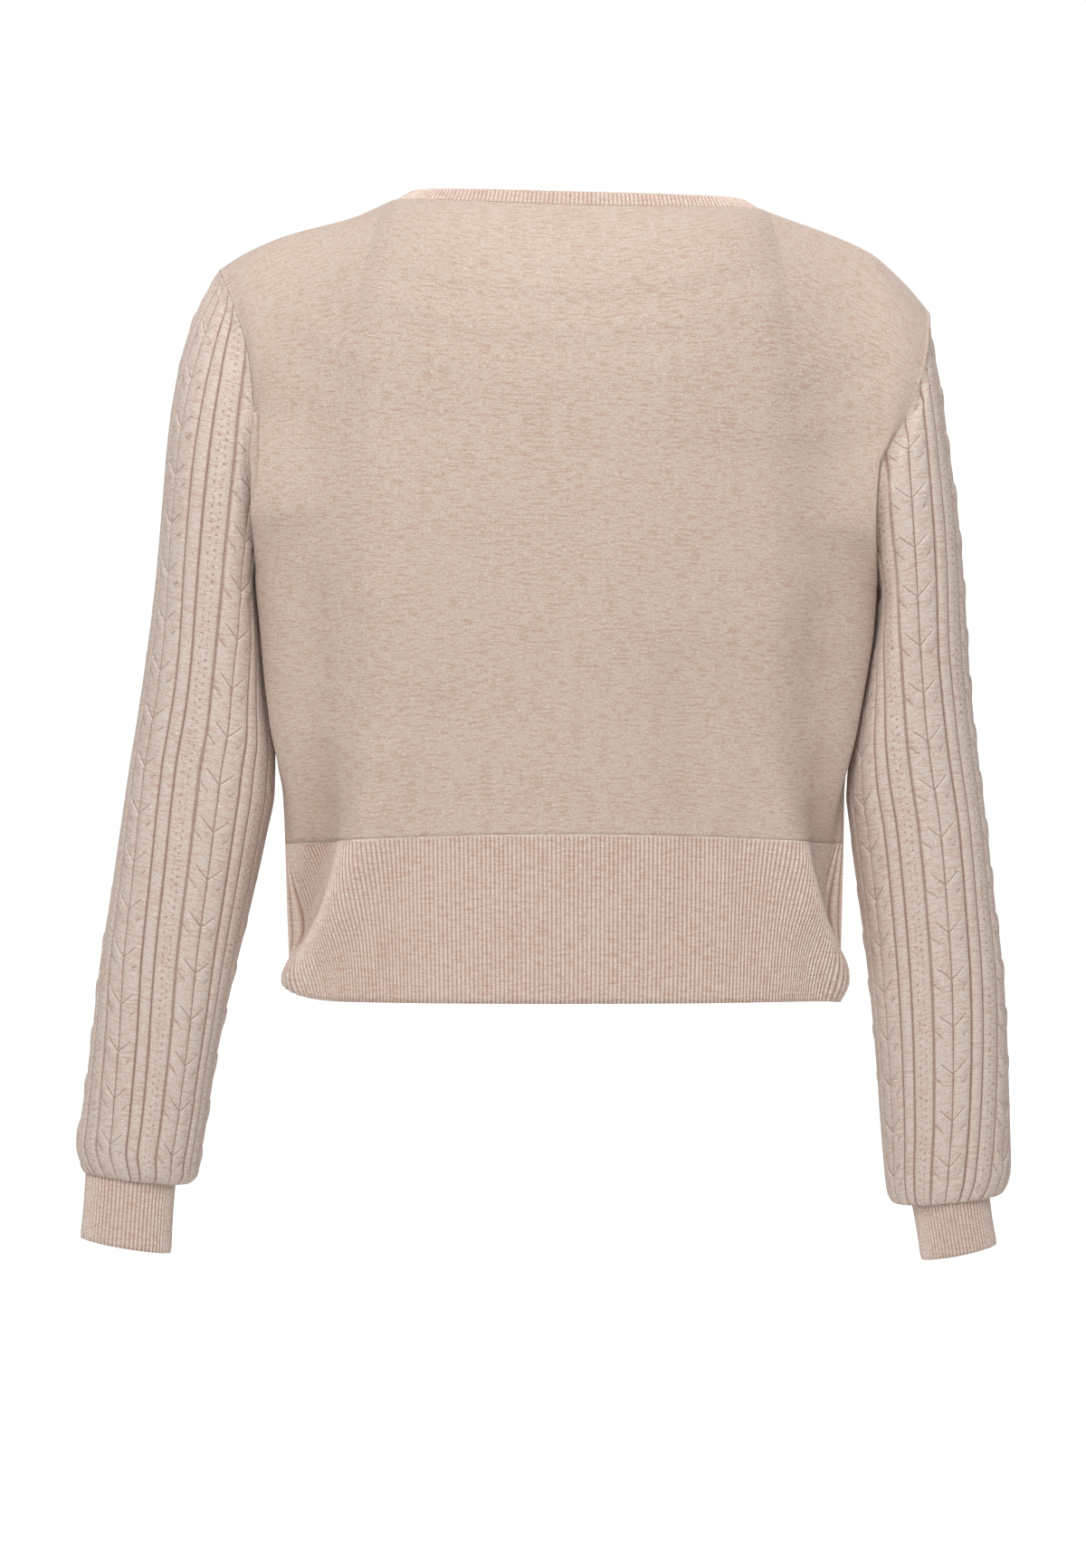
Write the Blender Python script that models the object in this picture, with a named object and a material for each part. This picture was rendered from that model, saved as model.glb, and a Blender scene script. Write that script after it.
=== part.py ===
"""Cropped cardigan, filled out as worn. X to the wearer's left, the front faces -Y, Z up; the origin is the base of the neck.

Sizes are millimetres until each mesh is made. Every piece is a shell: lines of outer points, lines of inner points and the
rims between them. Neighbours are cut from one surface, GAP apart.
"""

import bisect
import math

import bmesh
import bpy
import numpy as np

for old in list(bpy.data.objects):
    bpy.data.objects.remove(old, do_unlink=True)

MM = 0.001
GAP = 0.3  # between neighbours at a seam
ARMHOLE_GAP = 0.45  # the armhole is no flat loop, so its rims need a little more
JERSEY = 1.8  # wall of the plain knit
RIB_WALL = 2.2  # welt, cuff and neckband wall at a rib's top
RIB_CUT = 0.8  # depth between two ribs
RIB_PITCH = 2.65

LEFT, RIGHT = 1, -1
BACK, FRONT = 1, -1

# Armhole loop of each side: shoulder tip and underarm heights.
TIP = {LEFT: -40.7, RIGHT: -66.8}
UNDERARM = {LEFT: -228.0, RIGHT: -235.0}
ARMHOLE_DEPTH = {BACK: 56.0, FRONT: 50.0}

# height, distance of the armhole seam from the centre plane
ARMHOLE_LEFT = [(-240, 191.0), (-180, 190.5), (-130, 191.5), (-100, 194.5), (-66, 204.5), (-40, 215.8)]
ARMHOLE_RIGHT = [(-240, 187.6), (-200, 185.5), (-165, 187.0), (-136, 202), (-100, 215.5), (-66, 220.6)]

# height, left side, right side, back depth, front depth
BODY = [
    (-500, 171.5, -164.5, 73, -80),
    (-475, 172.5, -166.0, 75, -82),
    (-432, 174.3, -167.4, 79, -86),
    (-387, 175.6, -168.4, 83, -90),
    (-361, 177.0, -168.8, 86, -94),
    (-345, 180.0, -170.6, 88, -97),
    (-320, 183.2, -174.5, 91, -101),
    (-292, 186.6, -180.0, 95, -106),
    (-264, 188.8, -184.6, 99, -110),
    (-228, 191.2, -187.0, 102, -112),
    (-180, 191.2, -187.0, 104, -110),
    (-134, 191.2, -187.0, 103, -104),
]

# height, squareness of the section, its fullness (0.5 is round at the edge, 1 runs off flat)
SECTION = [(-500, 2.3, 0.5), (-387, 2.35, 0.5), (-228, 2.45, 0.5), (-134, 2.4, 0.68)]

# height, how far the cloth swells out beside the left and the right side seam, where it hangs over the sleeve
SIDE_SWELL = [
    (-392, 0, 0),
    (-375, 2, 3),
    (-345, 5, 7.5),
    (-320, 7.5, 9),
    (-298, 7.5, 8.5),
    (-231, 8.5, 6),
    (-187, 10.5, 5),
    (-160, 9.5, 5),
    (-130, 5, 3),
    (-95, 0, 0),
]
SWELL_SHARE = {(LEFT, BACK): 1.0, (RIGHT, BACK): 1.0, (LEFT, FRONT): 0.4, (RIGHT, FRONT): 0.3}
SWELL_REACH = 0.42  # of the columns, from the side seam

SEAM_EDGE, SEAM_CENTRE = -393.5, -387.0  # welt seam
HEM_CENTRE = -489.0
HEM_EDGE = {LEFT: -479.0, RIGHT: -491.0}

# Shoulder line: distance from the centre plane, height
NECK_POINT = {LEFT: (107.5, 1.7), RIGHT: (-117.0, -3.9)}
SHOULDER = {
    LEFT: [(107.5, 1.7), (131, -8.4), (172.7, -19.5), (199.4, -30.6), (215.8, -40.7)],
    RIGHT: [(117, -3.9), (129.2, -8.4), (160, -19.5), (184, -30.6), (197.7, -41.8), (208.9, -52.9), (220.6, -66.8)],
}
NECK_DEPTH = {BACK: 50.0, FRONT: -86.0}
NECK_DROP = {BACK: -6.5, FRONT: -86.0}  # height at the centre
COLLAR_HEIGHT = 11.0
BAND_HALF = 14.0
NECK_COLUMN = 0.5  # the column that ends on the neck point


class Curve:
    """A smooth curve, with no overshoot, through one column of a table whose first column rises."""

    def __init__(self, rows, column=1):
        self.keys = [row[0] for row in rows]
        self.values = [row[column] for row in rows]
        rise = [
            (self.values[j + 1] - self.values[j]) / (self.keys[j + 1] - self.keys[j])
            for j in range(len(rows) - 1)
        ]
        between = [0.0 if a * b <= 0 else 2 / (1 / a + 1 / b) for a, b in zip(rise, rise[1:])]
        self.slopes = [rise[0]] + between + [rise[-1]]

    def __call__(self, key):
        key = min(max(key, self.keys[0]), self.keys[-1])
        i = min(max(bisect.bisect_left(self.keys, key) - 1, 0), len(self.keys) - 2)
        span = self.keys[i + 1] - self.keys[i]
        t = (key - self.keys[i]) / span
        return (
            self.values[i] * (1 + 2 * t) * (1 - t) ** 2
            + self.values[i + 1] * t * t * (3 - 2 * t)
            + span * self.slopes[i] * t * (1 - t) ** 2
            - span * self.slopes[i + 1] * t * t * (1 - t)
        )


def unit(v):
    return v / np.linalg.norm(v)


def mixed(a, b, t):
    return a + (b - a) * t


def smooth(t):
    t = min(max(t, 0.0), 1.0)
    return t * t * (3 - 2 * t)


hole_x = {LEFT: Curve(ARMHOLE_LEFT), RIGHT: Curve(ARMHOLE_RIGHT)}
side_x = {LEFT: Curve(BODY, 1), RIGHT: Curve(BODY, 2)}
body_depth = {BACK: Curve(BODY, 3), FRONT: Curve(BODY, 4)}
squareness, fullness = Curve(SECTION, 1), Curve(SECTION, 2)
side_swell = {LEFT: Curve(SIDE_SWELL, 1), RIGHT: Curve(SIDE_SWELL, 2)}
shoulder_z = {side: Curve(line) for side, line in SHOULDER.items()}


# ---------------------------------------------------------------- the body's surface


def armhole(side, angle, face):
    """A point of the armhole loop: angle 0 at the shoulder tip, pi under the arm."""
    middle, half = (TIP[side] + UNDERARM[side]) / 2, (TIP[side] - UNDERARM[side]) / 2
    z = middle + half * math.cos(angle)
    x = hole_x[side](z)
    return np.array([side * x, face * ARMHOLE_DEPTH[face] * math.sin(angle), z])


def edge(side, t, face):
    """The body's edge: the armhole for t 0 to 1, the side seam to the welt for 1 to 2, the welt for 2 to 3."""
    if t <= 1:
        return armhole(side, math.pi * t, face)
    if t <= 2:
        z = mixed(UNDERARM[side], SEAM_EDGE, t - 1)
    else:
        z = mixed(SEAM_EDGE, HEM_EDGE[side], t - 2)
    return np.array([side_x[side](z), 0.0, z])


def row_point(s, t, face):
    """A point of a full section, s -1 at the right edge to 1 at the left one, for t of 0.5 and more."""
    left, right = edge(LEFT, t, face), edge(RIGHT, t, face)
    middle = (left + right) / 2
    x, y = mixed(right, left, (1 + s) / 2)[:2]
    power, full = squareness(middle[2]), fullness(middle[2])
    rim = 11 + 60 * smooth((t - 0.7) / 0.3)
    y = y * abs(s) ** rim + body_depth[face](middle[2]) * max(1 - abs(s) ** power, 0.0) ** full
    if t <= 1:
        return np.array([x, y, middle[2] + s * (left[2] - right[2]) / 2])
    if t <= 2:
        centre, bend = middle[2] + (t - 1) * (SEAM_CENTRE - SEAM_EDGE), t
    else:
        centre, bend = mixed(SEAM_CENTRE, HEM_CENTRE, t - 2), 2 + 18 * (t - 2)
    lift = abs(s) ** bend * ((left[2] if s > 0 else right[2]) - centre)
    return np.array([x, y, centre + lift])


def top_point(u, face):
    """The shoulder seam, and between the neck points the neckline."""
    side = LEFT if u >= 0 else RIGHT
    if abs(u) >= NECK_COLUMN:
        line = SHOULDER[side]
        x = mixed(line[0][0], line[-1][0], (abs(u) - NECK_COLUMN) / (1 - NECK_COLUMN))
        return np.array([side * x, 0.0, shoulder_z[side](x)])
    (x1, z1), (x2, z2) = NECK_POINT[LEFT], NECK_POINT[RIGHT]
    turn = math.sin(math.pi / 2 * u / NECK_COLUMN)
    deep = math.cos(math.pi / 2 * u / NECK_COLUMN)
    x = (x1 + x2) / 2 + turn * (x1 - x2) / 2
    z = (z1 + z2) / 2 + turn * (z1 - z2) / 2
    fall = deep if face == FRONT else deep**2
    return np.array([x, NECK_DEPTH[face] * deep, z + (NECK_DROP[face] - (z1 + z2) / 2) * fall])


# across, height, its reach across and down, how far it stands out: the largest folds of the back
BACK_FOLDS = [
    (150, -420, 30, 70, 3.0),
    (-150, -430, 26, 70, 3.0),
    (60, -400, 26, 60, -2.5),
    (-68, -330, 24, 55, -2.5),
    (118, -170, 22, 90, 1.5),
    (-118, -175, 22, 90, 1.5),
]


def fold(x, z):
    total = 0.0
    for across, height, wide, tall, out in BACK_FOLDS:
        total += out * math.exp(-(((x - across) / wide) ** 2) - ((z - height) / tall) ** 2)
    return total


def body(u, t, face):
    """The outer surface of the body: u -1 at the right edge to 1 at the left one, t down as in edge()."""
    s = math.sin(math.pi / 2 * u)
    if t >= 0.5:
        p = row_point(s, t, face)
    else:
        top, full = top_point(u, face), row_point(s, 0.5, face)
        over = smooth(abs(u) / NECK_COLUMN)
        level = mixed(0.6 if face == BACK else 0.3, 1.0, over)
        turn = math.pi * t
        across = mixed(2 * t, math.sin(turn), 0.3)
        back = mixed(1 - (1 - 2 * t) ** 2, math.sin(turn), level)
        down = mixed(2 * t, 1 - math.cos(turn), level)
        p = np.array([
            mixed(top[0], full[0], across),
            mixed(top[1], full[1], back),
            mixed(top[2], full[2], down),
        ])
        side = LEFT if u >= 0 else RIGHT
        rim = armhole(side, turn, face)
        at_rim = mixed(side * SHOULDER[side][-1][0], armhole(side, math.pi / 2, face)[0], across)
        p[0] += (rim[0] - at_rim) * abs(u) ** 6
    side = LEFT if u >= 0 else RIGHT
    place = (1 - abs(u)) / SWELL_REACH
    if place < 1:
        bulge = smooth((place - 0.12) / 0.36) * (1 - smooth((place - 0.48) / 0.52))
        p[0] += side * SWELL_SHARE[side, face] * side_swell[side](p[2]) * bulge
    if face == BACK:
        p[1] += fold(p[0], p[2]) * (1 - s * s) ** 0.5
    p[1] += face * GAP / 2
    return p


def body_normal(u, t, face):
    """Outward, and square to each seam that the point lies on, so that both sides of the seam stay parallel."""
    e = 1e-3
    low, high = max(u - e, -1.0), min(u + e, 1.0)
    if abs(u) > 0.999:
        low, high = (u - e, u) if u > 0 else (u, u + e)
    t1, t2 = max(t - e, 0.0), min(t + e, 3.0)
    if t1 < 0.5 < t2:
        t1, t2 = 0.5, 0.5 + e
    if t1 < 1 < t2:
        t1, t2 = 1 - e, 1.0
    du = body(high, t, face) - body(low, t, face)
    dt = body(u, t2, face) - body(u, t1, face)
    n = unit(np.cross(du, dt)) * face
    side = LEFT if u > 0 else RIGHT
    at_edge = abs(u) > 0.999
    if at_edge and t > 1.001:
        return np.array([side, 0.0, 0.0])
    if at_edge and t > 0.999:
        return unit(np.array([side, 0.0, -1.0]))
    if at_edge:
        a, b = armhole(side, math.pi * max(t - e, 0), face), armhole(side, math.pi * (t + e), face)
        n = np.array([0.0, b[2] - a[2], a[1] - b[1]])
        n = unit(n)
        outward = np.array([0.0, face * math.sin(math.pi * t), math.cos(math.pi * t)])
        n = n if n @ outward > 0 else -n
        return n if t > 0.001 else np.array([0.0, 0.0, 1.0])
    if t < 0.001 and abs(u) >= NECK_COLUMN - 1e-6:
        n[1] = 0.0
        n[2] = abs(n[2])
        if abs(abs(u) - NECK_COLUMN) < 1e-3:
            return collar_frame(u, face)[1]
        return unit(n)
    if t < 0.001:
        return collar_frame(u, face)[1]
    if abs(t - 2) < 0.001 or abs(t - 3) < 0.001:
        n[2] = 0.0
        return unit(n)
    return n


def collar_frame(u, face):
    """At a point of the neckline: the way up the neckband, and its outward face."""
    turn = math.pi / 2 * u / NECK_COLUMN
    inward = 0.85 - (0.35 if face == BACK else 0.5) * math.cos(turn) ** 2
    away = unit(np.array([math.sin(turn), face * math.cos(turn), 0.0]))
    up = unit(np.array([0.0, 0.0, math.sqrt(1 - inward**2)]) - inward * away)
    e = 1e-3
    if NECK_COLUMN - abs(u) < 2 * e:
        along = np.array([0.0, 1.0, 0.0])
    else:
        along = unit(top_point(u + e, face) - top_point(u - e, face))
    up = unit(up - along * (up @ along))
    out = np.cross(along, up)
    out = unit(out)
    return up, out if out @ away > 0 else -out


# ---------------------------------------------------------------- shells


def material(name, colour, roughness):
    made = bpy.data.materials.new(name)
    made.use_nodes = True
    shader = made.node_tree.nodes["Principled BSDF"]
    shader.inputs["Base Color"].default_value = (*colour, 1.0)
    shader.inputs["Roughness"].default_value = roughness
    shader.inputs["Metallic"].default_value = 0.0
    return made


knit = material("knit", (0.62, 0.50, 0.42), 0.9)
shell_button = material("button", (0.62, 0.55, 0.47), 0.3)


def zipped(a, b, at_a, at_b):
    """Triangles between two lines of points whose places along them rise."""
    faces, i, j = [], 0, 0
    while i < len(a) - 1 or j < len(b) - 1:
        if j == len(b) - 1 or (i < len(a) - 1 and at_a[i + 1] + at_a[i] <= at_b[j + 1] + at_b[j]):
            faces.append((a[i], a[i + 1], b[j]))
            i += 1
        else:
            faces.append((a[i], b[j + 1], b[j]))
            j += 1
    return faces


def ring_zipped(a, b, at_a, at_b):
    """The same between two closed rings; places are turns."""
    def opened(ids, places):
        order = sorted(range(len(ids)), key=lambda k: places[k] % 1.0)
        return [ids[k] for k in order] + [ids[order[0]]], [places[k] % 1.0 for k in order] + [
            places[order[0]] % 1.0 + 1.0
        ]

    a, at_a = opened(a, at_a)
    b, at_b = opened(b, at_b)
    return zipped(a, b, at_a, at_b)


def shell(name, outer, inner, closed):
    """One solid from lines of outer and of inner points. A line is (place at its start, at its end, [(along, point)])."""
    points, ids = [], []
    for lines in (outer, inner):
        ids.append([])
        for _, _, line in lines:
            ids[-1].append(list(range(len(points), len(points) + len(line))))
            points += [p for _, p in line]
    faces = []
    for lines, made in zip((outer, inner), ids):
        count = len(lines)
        for k in range(count if closed else count - 1):
            other = (k + 1) % count
            faces += zipped(made[k], made[other], [v for v, _ in lines[k][2]], [v for v, _ in lines[other][2]])
    for end, place in ((0, 0), (-1, 1)):
        a, b = [line[end] for line in ids[0]], [line[end] for line in ids[1]]
        at_a, at_b = [line[place] for line in outer], [line[place] for line in inner]
        faces += (ring_zipped if closed else zipped)(a, b, at_a, at_b)
    if not closed:
        for end in (0, -1):
            faces += zipped(
                ids[0][end], ids[1][end], [v for v, _ in outer[end][2]], [v for v, _ in inner[end][2]]
            )
    mesh = bpy.data.meshes.new(name)
    mesh.from_pydata([tuple(p * MM) for p in points], [], faces)
    work = bmesh.new()
    work.from_mesh(mesh)
    bmesh.ops.recalc_face_normals(work, faces=work.faces)
    if work.calc_volume(signed=True) < 0:
        bmesh.ops.reverse_faces(work, faces=work.faces)
    work.to_mesh(mesh)
    work.free()
    mesh.materials.append(knit)
    bpy.context.scene.collection.objects.link(bpy.data.objects.new(name, mesh))


def body_shell(name, face, columns, rows, sunk=lambda u, t: 0.0, wall=JERSEY):
    """A plain panel of the body's surface; columns(t) gives its u values, sunk moves the whole wall inwards."""
    count = len(columns(rows[0]))
    outer, inner = [], []
    for k in range(count):
        out_line, in_line = [], []
        for t in rows:
            u = columns(t)[k]
            p, n = body(u, t, face), body_normal(u, t, face)
            down = sunk(u, t)
            out_line.append((t, p - down * n))
            in_line.append((t, p - (down + wall) * n))
        outer.append((k, k, out_line))
        inner.append((k, k, in_line))
    return shell(name, outer, inner, False)


def u_at(x_off, t, face):
    """The column whose point lies x_off from the centre line of this row."""
    centre = body(0.0, t, face)[0]
    low, high = 0.0, 0.5 if x_off > 0 else -0.5
    for _ in range(30):
        mid = (low + high) / 2
        if abs(body(mid, t, face)[0] - centre) < abs(x_off):
            low = mid
        else:
            high = mid
    return (low + high) / 2


ARM_ROWS = [0, 0.05, 0.1, 0.16, 0.23, 0.31, 0.4, 0.5, 0.59, 0.68, 0.77, 0.86, 0.94, 1.0]
LOW_ROWS = [1.14, 1.3, 1.47, 1.65, 1.83, 2.0]
BODY_ROWS = ARM_ROWS + LOW_ROWS
SIDE_COLUMNS = [1.0, 0.95, 0.89, 0.82, 0.74, 0.66, 0.58, 0.5]
BACK_COLUMNS = SIDE_COLUMNS + [0.4, 0.3, 0.2, 0.1, 0.0]
BACK_COLUMNS = BACK_COLUMNS + [-u for u in reversed(BACK_COLUMNS[:-1])]

body_shell("back", BACK, lambda t: BACK_COLUMNS, BODY_ROWS)


def front_columns(side):
    reach = [0.0, 0.18, 0.4, 0.66, 1.0]  # from the band's edge to the neck column

    def columns(t):
        start = u_at(side * (BAND_HALF + GAP), t, FRONT)
        inside = [mixed(start, side * NECK_COLUMN, r) for r in reach]
        return inside + [side * u for u in reversed(SIDE_COLUMNS[:-1])]

    return columns


def beneath(u, t):
    """How far the left front sinks towards the centre, to pass beneath the buttonhole band."""
    near = 1 - (abs(u) - 0.04) / 0.3
    return (JERSEY + GAP) * smooth(near)


body_shell("front_right", FRONT, front_columns(RIGHT), BODY_ROWS)
body_shell("front_left", FRONT, front_columns(LEFT), BODY_ROWS, beneath)

# ---------------------------------------------------------------- front bands

BAND_ROWS = BODY_ROWS + [2.5, 3.0]


def band_shell(name, sunk):
    outer, inner = [], []
    for k, x_off in enumerate((-BAND_HALF, -BAND_HALF / 2, 0.0, BAND_HALF / 2, BAND_HALF)):
        up, out = collar_frame(u_at(x_off, 0.0, FRONT), FRONT)
        start = body(u_at(x_off, 0.0, FRONT), 0.0, FRONT)
        top = start + up * COLLAR_HEIGHT
        out_line, in_line = [(-0.05, top - out * sunk)], [(-0.05, top - out * (sunk + JERSEY))]
        for t in BAND_ROWS:
            u = u_at(x_off, t, FRONT)
            p, n = body(u, t, FRONT), body_normal(u, t, FRONT)
            out_line.append((t, p - n * sunk))
            in_line.append((t, p - n * (sunk + JERSEY)))
        outer.append((k, k, out_line))
        inner.append((k, k, in_line))
    shell(name, outer, inner, False)


band_shell("band_right", 0.0)
band_shell("band_left", JERSEY + GAP)

BUTTON_RADIUS, BUTTON_THICK, BUTTON_STEPS, BUTTONS = 5.75, 2.6, 12, 7
BUTTON_TOP, BUTTON_LOW = -93.0, -477.0  # heights of the first and the last
# share of the radius, share of the thickness: a dished face inside a rim
BUTTON_PROFILE = [(0.0, 0.0), (0.82, 0.0), (1.0, 0.35), (1.0, 0.7), (0.88, 1.0), (0.72, 0.8), (0.0, 0.8)]


def row_at(z):
    """The row of the centre front at this height."""
    high, low = 0.0, 3.0
    for _ in range(40):
        mid = (low + high) / 2
        if body(0.0, mid, FRONT)[2] > z:
            high = mid
        else:
            low = mid
    return low


def button(name, row):
    out = unit(body_normal(0.0, row, FRONT) * np.array([0.0, 1.0, 1.0]))
    foot = body(0.0, row, FRONT) + out * GAP
    across = np.array([1.0, 0.0, 0.0])
    up = np.cross(across, out)
    work, rings = bmesh.new(), []
    for share, height in BUTTON_PROFILE:
        centre = foot + out * height * BUTTON_THICK
        spokes = [math.tau * i / BUTTON_STEPS for i in range(BUTTON_STEPS)] if share else [0.0]
        rings.append([
            work.verts.new((centre + share * BUTTON_RADIUS * (across * math.cos(a) + up * math.sin(a))) * MM)
            for a in spokes
        ])
    for a, b in zip(rings, rings[1:]):
        for i in range(BUTTON_STEPS):
            j = (i + 1) % BUTTON_STEPS
            corners = [a[i % len(a)], a[j % len(a)], b[j % len(b)], b[i % len(b)]]
            work.faces.new(list(dict.fromkeys(corners)))
    bmesh.ops.recalc_face_normals(work, faces=work.faces)
    mesh = bpy.data.meshes.new(name)
    work.to_mesh(mesh)
    work.free()
    mesh.materials.append(shell_button)
    bpy.context.scene.collection.objects.link(bpy.data.objects.new(name, mesh))


for k in range(BUTTONS):
    button(f"button_{k + 1}", row_at(mixed(BUTTON_TOP, BUTTON_LOW, k / (BUTTONS - 1))))

# ---------------------------------------------------------------- welt, ribs up and down


def arc_columns(start, end, t, face, pitch):
    """u values from start to end, pitch apart along the row."""
    many = [mixed(start, end, i / 400) for i in range(401)]
    points = [body(u, t, face) for u in many]
    run = [0.0]
    for a, b in zip(points, points[1:]):
        run.append(run[-1] + float(np.linalg.norm(b - a)))
    count = max(2, round(run[-1] / pitch))
    count += count % 2
    return [float(np.interp(run[-1] * i / count, run, many)) for i in range(count + 1)]


POINTS_AN_INSIDE_LINE = 14


def welt_shell(name, face, start, end, sunk=lambda u, t: 0.0):
    """start and end give u at a row."""
    middle = arc_columns(start(2.5), end(2.5), 2.5, face, RIB_PITCH / 2)
    share = [(u - middle[0]) / (middle[-1] - middle[0]) for u in middle]
    outer, inner = [], []
    for k, part in enumerate(share):
        line = []
        for t in (2.0, 3.0):
            u = mixed(start(t), end(t), part)
            n = body_normal(u, t, face)
            cut = RIB_CUT if k % 2 else 0.0
            p = body(u, t, face) - n * (cut + sunk(u, t))
            line.append((t, p - np.array([0, 0, GAP]) if t == 2.0 else p))
        outer.append((part, part, line))
    coarse = round(len(share) / POINTS_AN_INSIDE_LINE)
    for k in range(coarse + 1):
        part = share[round(k * (len(share) - 1) / coarse)]
        line = []
        for t in (2.0, 3.0):
            u = mixed(start(t), end(t), part)
            n = body_normal(u, t, face)
            p = body(u, t, face) - n * (RIB_WALL + sunk(u, t))
            line.append((t, p - np.array([0, 0, GAP]) if t == 2.0 else p))
        inner.append((part, part, line))
    shell(name, outer, inner, False)


welt_shell("welt_back", BACK, lambda t: 1.0, lambda t: -1.0)
welt_shell("welt_front_left", FRONT, lambda t: 1.0, lambda t: u_at(BAND_HALF + GAP, t, FRONT), beneath)
welt_shell("welt_front_right", FRONT, lambda t: -1.0, lambda t: u_at(-BAND_HALF - GAP, t, FRONT))

# ---------------------------------------------------------------- neckband


NECKBAND_INSIDE_LINES = 44


def neck_loop(pitch):
    """(u, face) round the neckline from the left front band to the right one, pitch apart."""
    end = u_at(BAND_HALF + GAP, 0.0, FRONT)
    many = [(mixed(end, NECK_COLUMN, i / 150), FRONT) for i in range(151)]
    many += [(mixed(NECK_COLUMN, -NECK_COLUMN, i / 300), BACK) for i in range(1, 300)]
    end = u_at(-BAND_HALF - GAP, 0.0, FRONT)
    many += [(mixed(-NECK_COLUMN, end, i / 150), FRONT) for i in range(151)]
    run = [0.0]
    points = [top_point(u, face) for u, face in many]
    for a, b in zip(points, points[1:]):
        run.append(run[-1] + float(np.linalg.norm(b - a)))
    count = round(run[-1] / pitch)
    count += count % 2
    found = []
    for i in range(count + 1):
        at = run[-1] * i / count
        k = min(int(np.searchsorted(run, at, side="right")) - 1, len(run) - 2)
        part = (at - run[k]) / (run[k + 1] - run[k])
        (u1, f1), (u2, f2) = many[k], many[k + 1]
        if f1 != f2:
            part, u2 = 0.0, u1
        found.append((mixed(u1, u2, part), f1))
    return found


def neck_line(u, face, cut):
    """The band's line above one place of the seam, which runs straight between the panel's own points."""
    if face == BACK:
        columns = BACK_COLUMNS
    else:
        columns = front_columns(LEFT if u > 0 else RIGHT)(0.0)
    columns = sorted(columns)
    k = min(max(bisect.bisect_right(columns, u) - 1, 0), len(columns) - 2)
    low, high = columns[k], columns[k + 1]
    part = (u - low) / (high - low)
    seam = mixed(body(low, 0.0, face), body(high, 0.0, face), part)
    out = unit(mixed(body_normal(low, 0.0, face), body_normal(high, 0.0, face), part))
    up = collar_frame(u, face)[0]
    up = unit(up - out * (up @ out))
    return [(0.0, seam + up * GAP - out * cut), (1.0, seam + up * COLLAR_HEIGHT - out * cut)]


loop = neck_loop(RIB_PITCH / 2)
outer, inner = [], []
for k, (u, face) in enumerate(loop):
    share = k / (len(loop) - 1)
    outer.append((share, share, neck_line(u, face, RIB_CUT if k % 2 else 0.0)))
for k in range(NECKBAND_INSIDE_LINES + 1):
    at = round(k * (len(loop) - 1) / NECKBAND_INSIDE_LINES)
    share = at / (len(loop) - 1)
    inner.append((share, share, neck_line(*loop[at], RIB_WALL)))
shell("neckband", outer, inner, False)

# ---------------------------------------------------------------- sleeves

# Rings from the armhole to the cuff.
# outer x and z, inner x and z, half depth, centre y, how far the inside lies in, how far up
SLEEVE_LEFT = [
    (215.8, -40.7, 191.0, -228, 55, 0, 2.8, 0),
    (229.0, -63, 193.0, -237, 60, 0, 2.8, 0),
    (239.5, -95, 191.9, -247, 62, -1, 2.8, 0),
    (247.0, -140, 190.6, -259, 61, -2, 2.8, 0),
    (251.0, -185, 189.3, -274, 59, -3, 2.8, 0),
    (255.6, -235, 187.7, -293, 56, -5, 2.8, 0),
    (261.2, -278, 185.0, -315, 53, -7, 2.8, 0),
    (267.0, -316, 182.0, -340, 50, -9, 2.8, 0),
    (272.5, -348, 182.6, -362, 48, -12, 2.8, 0),
    (277.5, -380, 188.5, -392, 47, -16, 2.8, 0),
    (284.5, -425, 199.0, -438, 45, -22, 2.8, 0),
    (292.5, -470, 210.0, -483, 43.5, -30, 2.8, 0),
    (298.5, -517, 220.0, -529, 42, -38, 2.8, 0),
    (305.0, -560, 226.8, -572, 40, -45, 2.8, 0),
    (309.2, -582, 230.8, -594, 38, -49, 2.8, 0),
    (307.8, -591, 232.0, -601.5, 36, -51, 2.8, 1),
    (305.5, -597.5, 237.5, -607, 31, -52, 2.6, 4),
    (304.3, -599.5, 242.5, -607.5, 27.5, -52.5, 2.3, 6.5),
    (303.2, -597.0, 246.3, -604.0, 25.5, -52.5, 2.2, 0),
]
SLEEVE_RIGHT = [
    (-220.6, -66.8, -187.8, -235, 55, 0, 2.8, 0),
    (-223.4, -88, -189.6, -243, 60, 0, 2.8, 0),
    (-228.0, -112, -188.6, -251, 61, -1, 2.8, 0),
    (-232.6, -148, -187.0, -262, 60, -2, 2.8, 0),
    (-238.2, -187, -184.8, -275, 58, -3, 2.8, 0),
    (-242.8, -235, -181.2, -294, 55, -5, 2.8, 0),
    (-245.6, -276, -177.1, -314, 52, -7, 2.8, 0),
    (-248.8, -313, -172.8, -338, 49, -9, 2.8, 0),
    (-253.0, -346, -170.9, -362, 47, -12, 2.8, 0),
    (-257.6, -380, -173.9, -390, 46, -16, 2.8, 0),
    (-263.3, -428, -179.9, -436, 44.5, -22, 2.8, 0),
    (-269.5, -473, -185.6, -481, 43, -30, 2.8, 0),
    (-273.0, -519, -190.4, -527, 42, -38, 2.8, 0),
    (-275.0, -564, -194.0, -572, 40, -45, 2.8, 0),
    (-276.6, -596, -196.8, -604, 38, -50, 2.8, 0),
    (-275.0, -606, -198.5, -613.5, 36, -51, 2.8, 1),
    (-270.5, -613, -203.0, -619.5, 32.5, -52, 2.6, 4),
    (-266.8, -614, -208.8, -620, 30, -52.5, 2.3, 6.5),
    (-262.8, -611.5, -213.4, -616.5, 28.5, -52.5, 2.2, 0),
]
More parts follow.
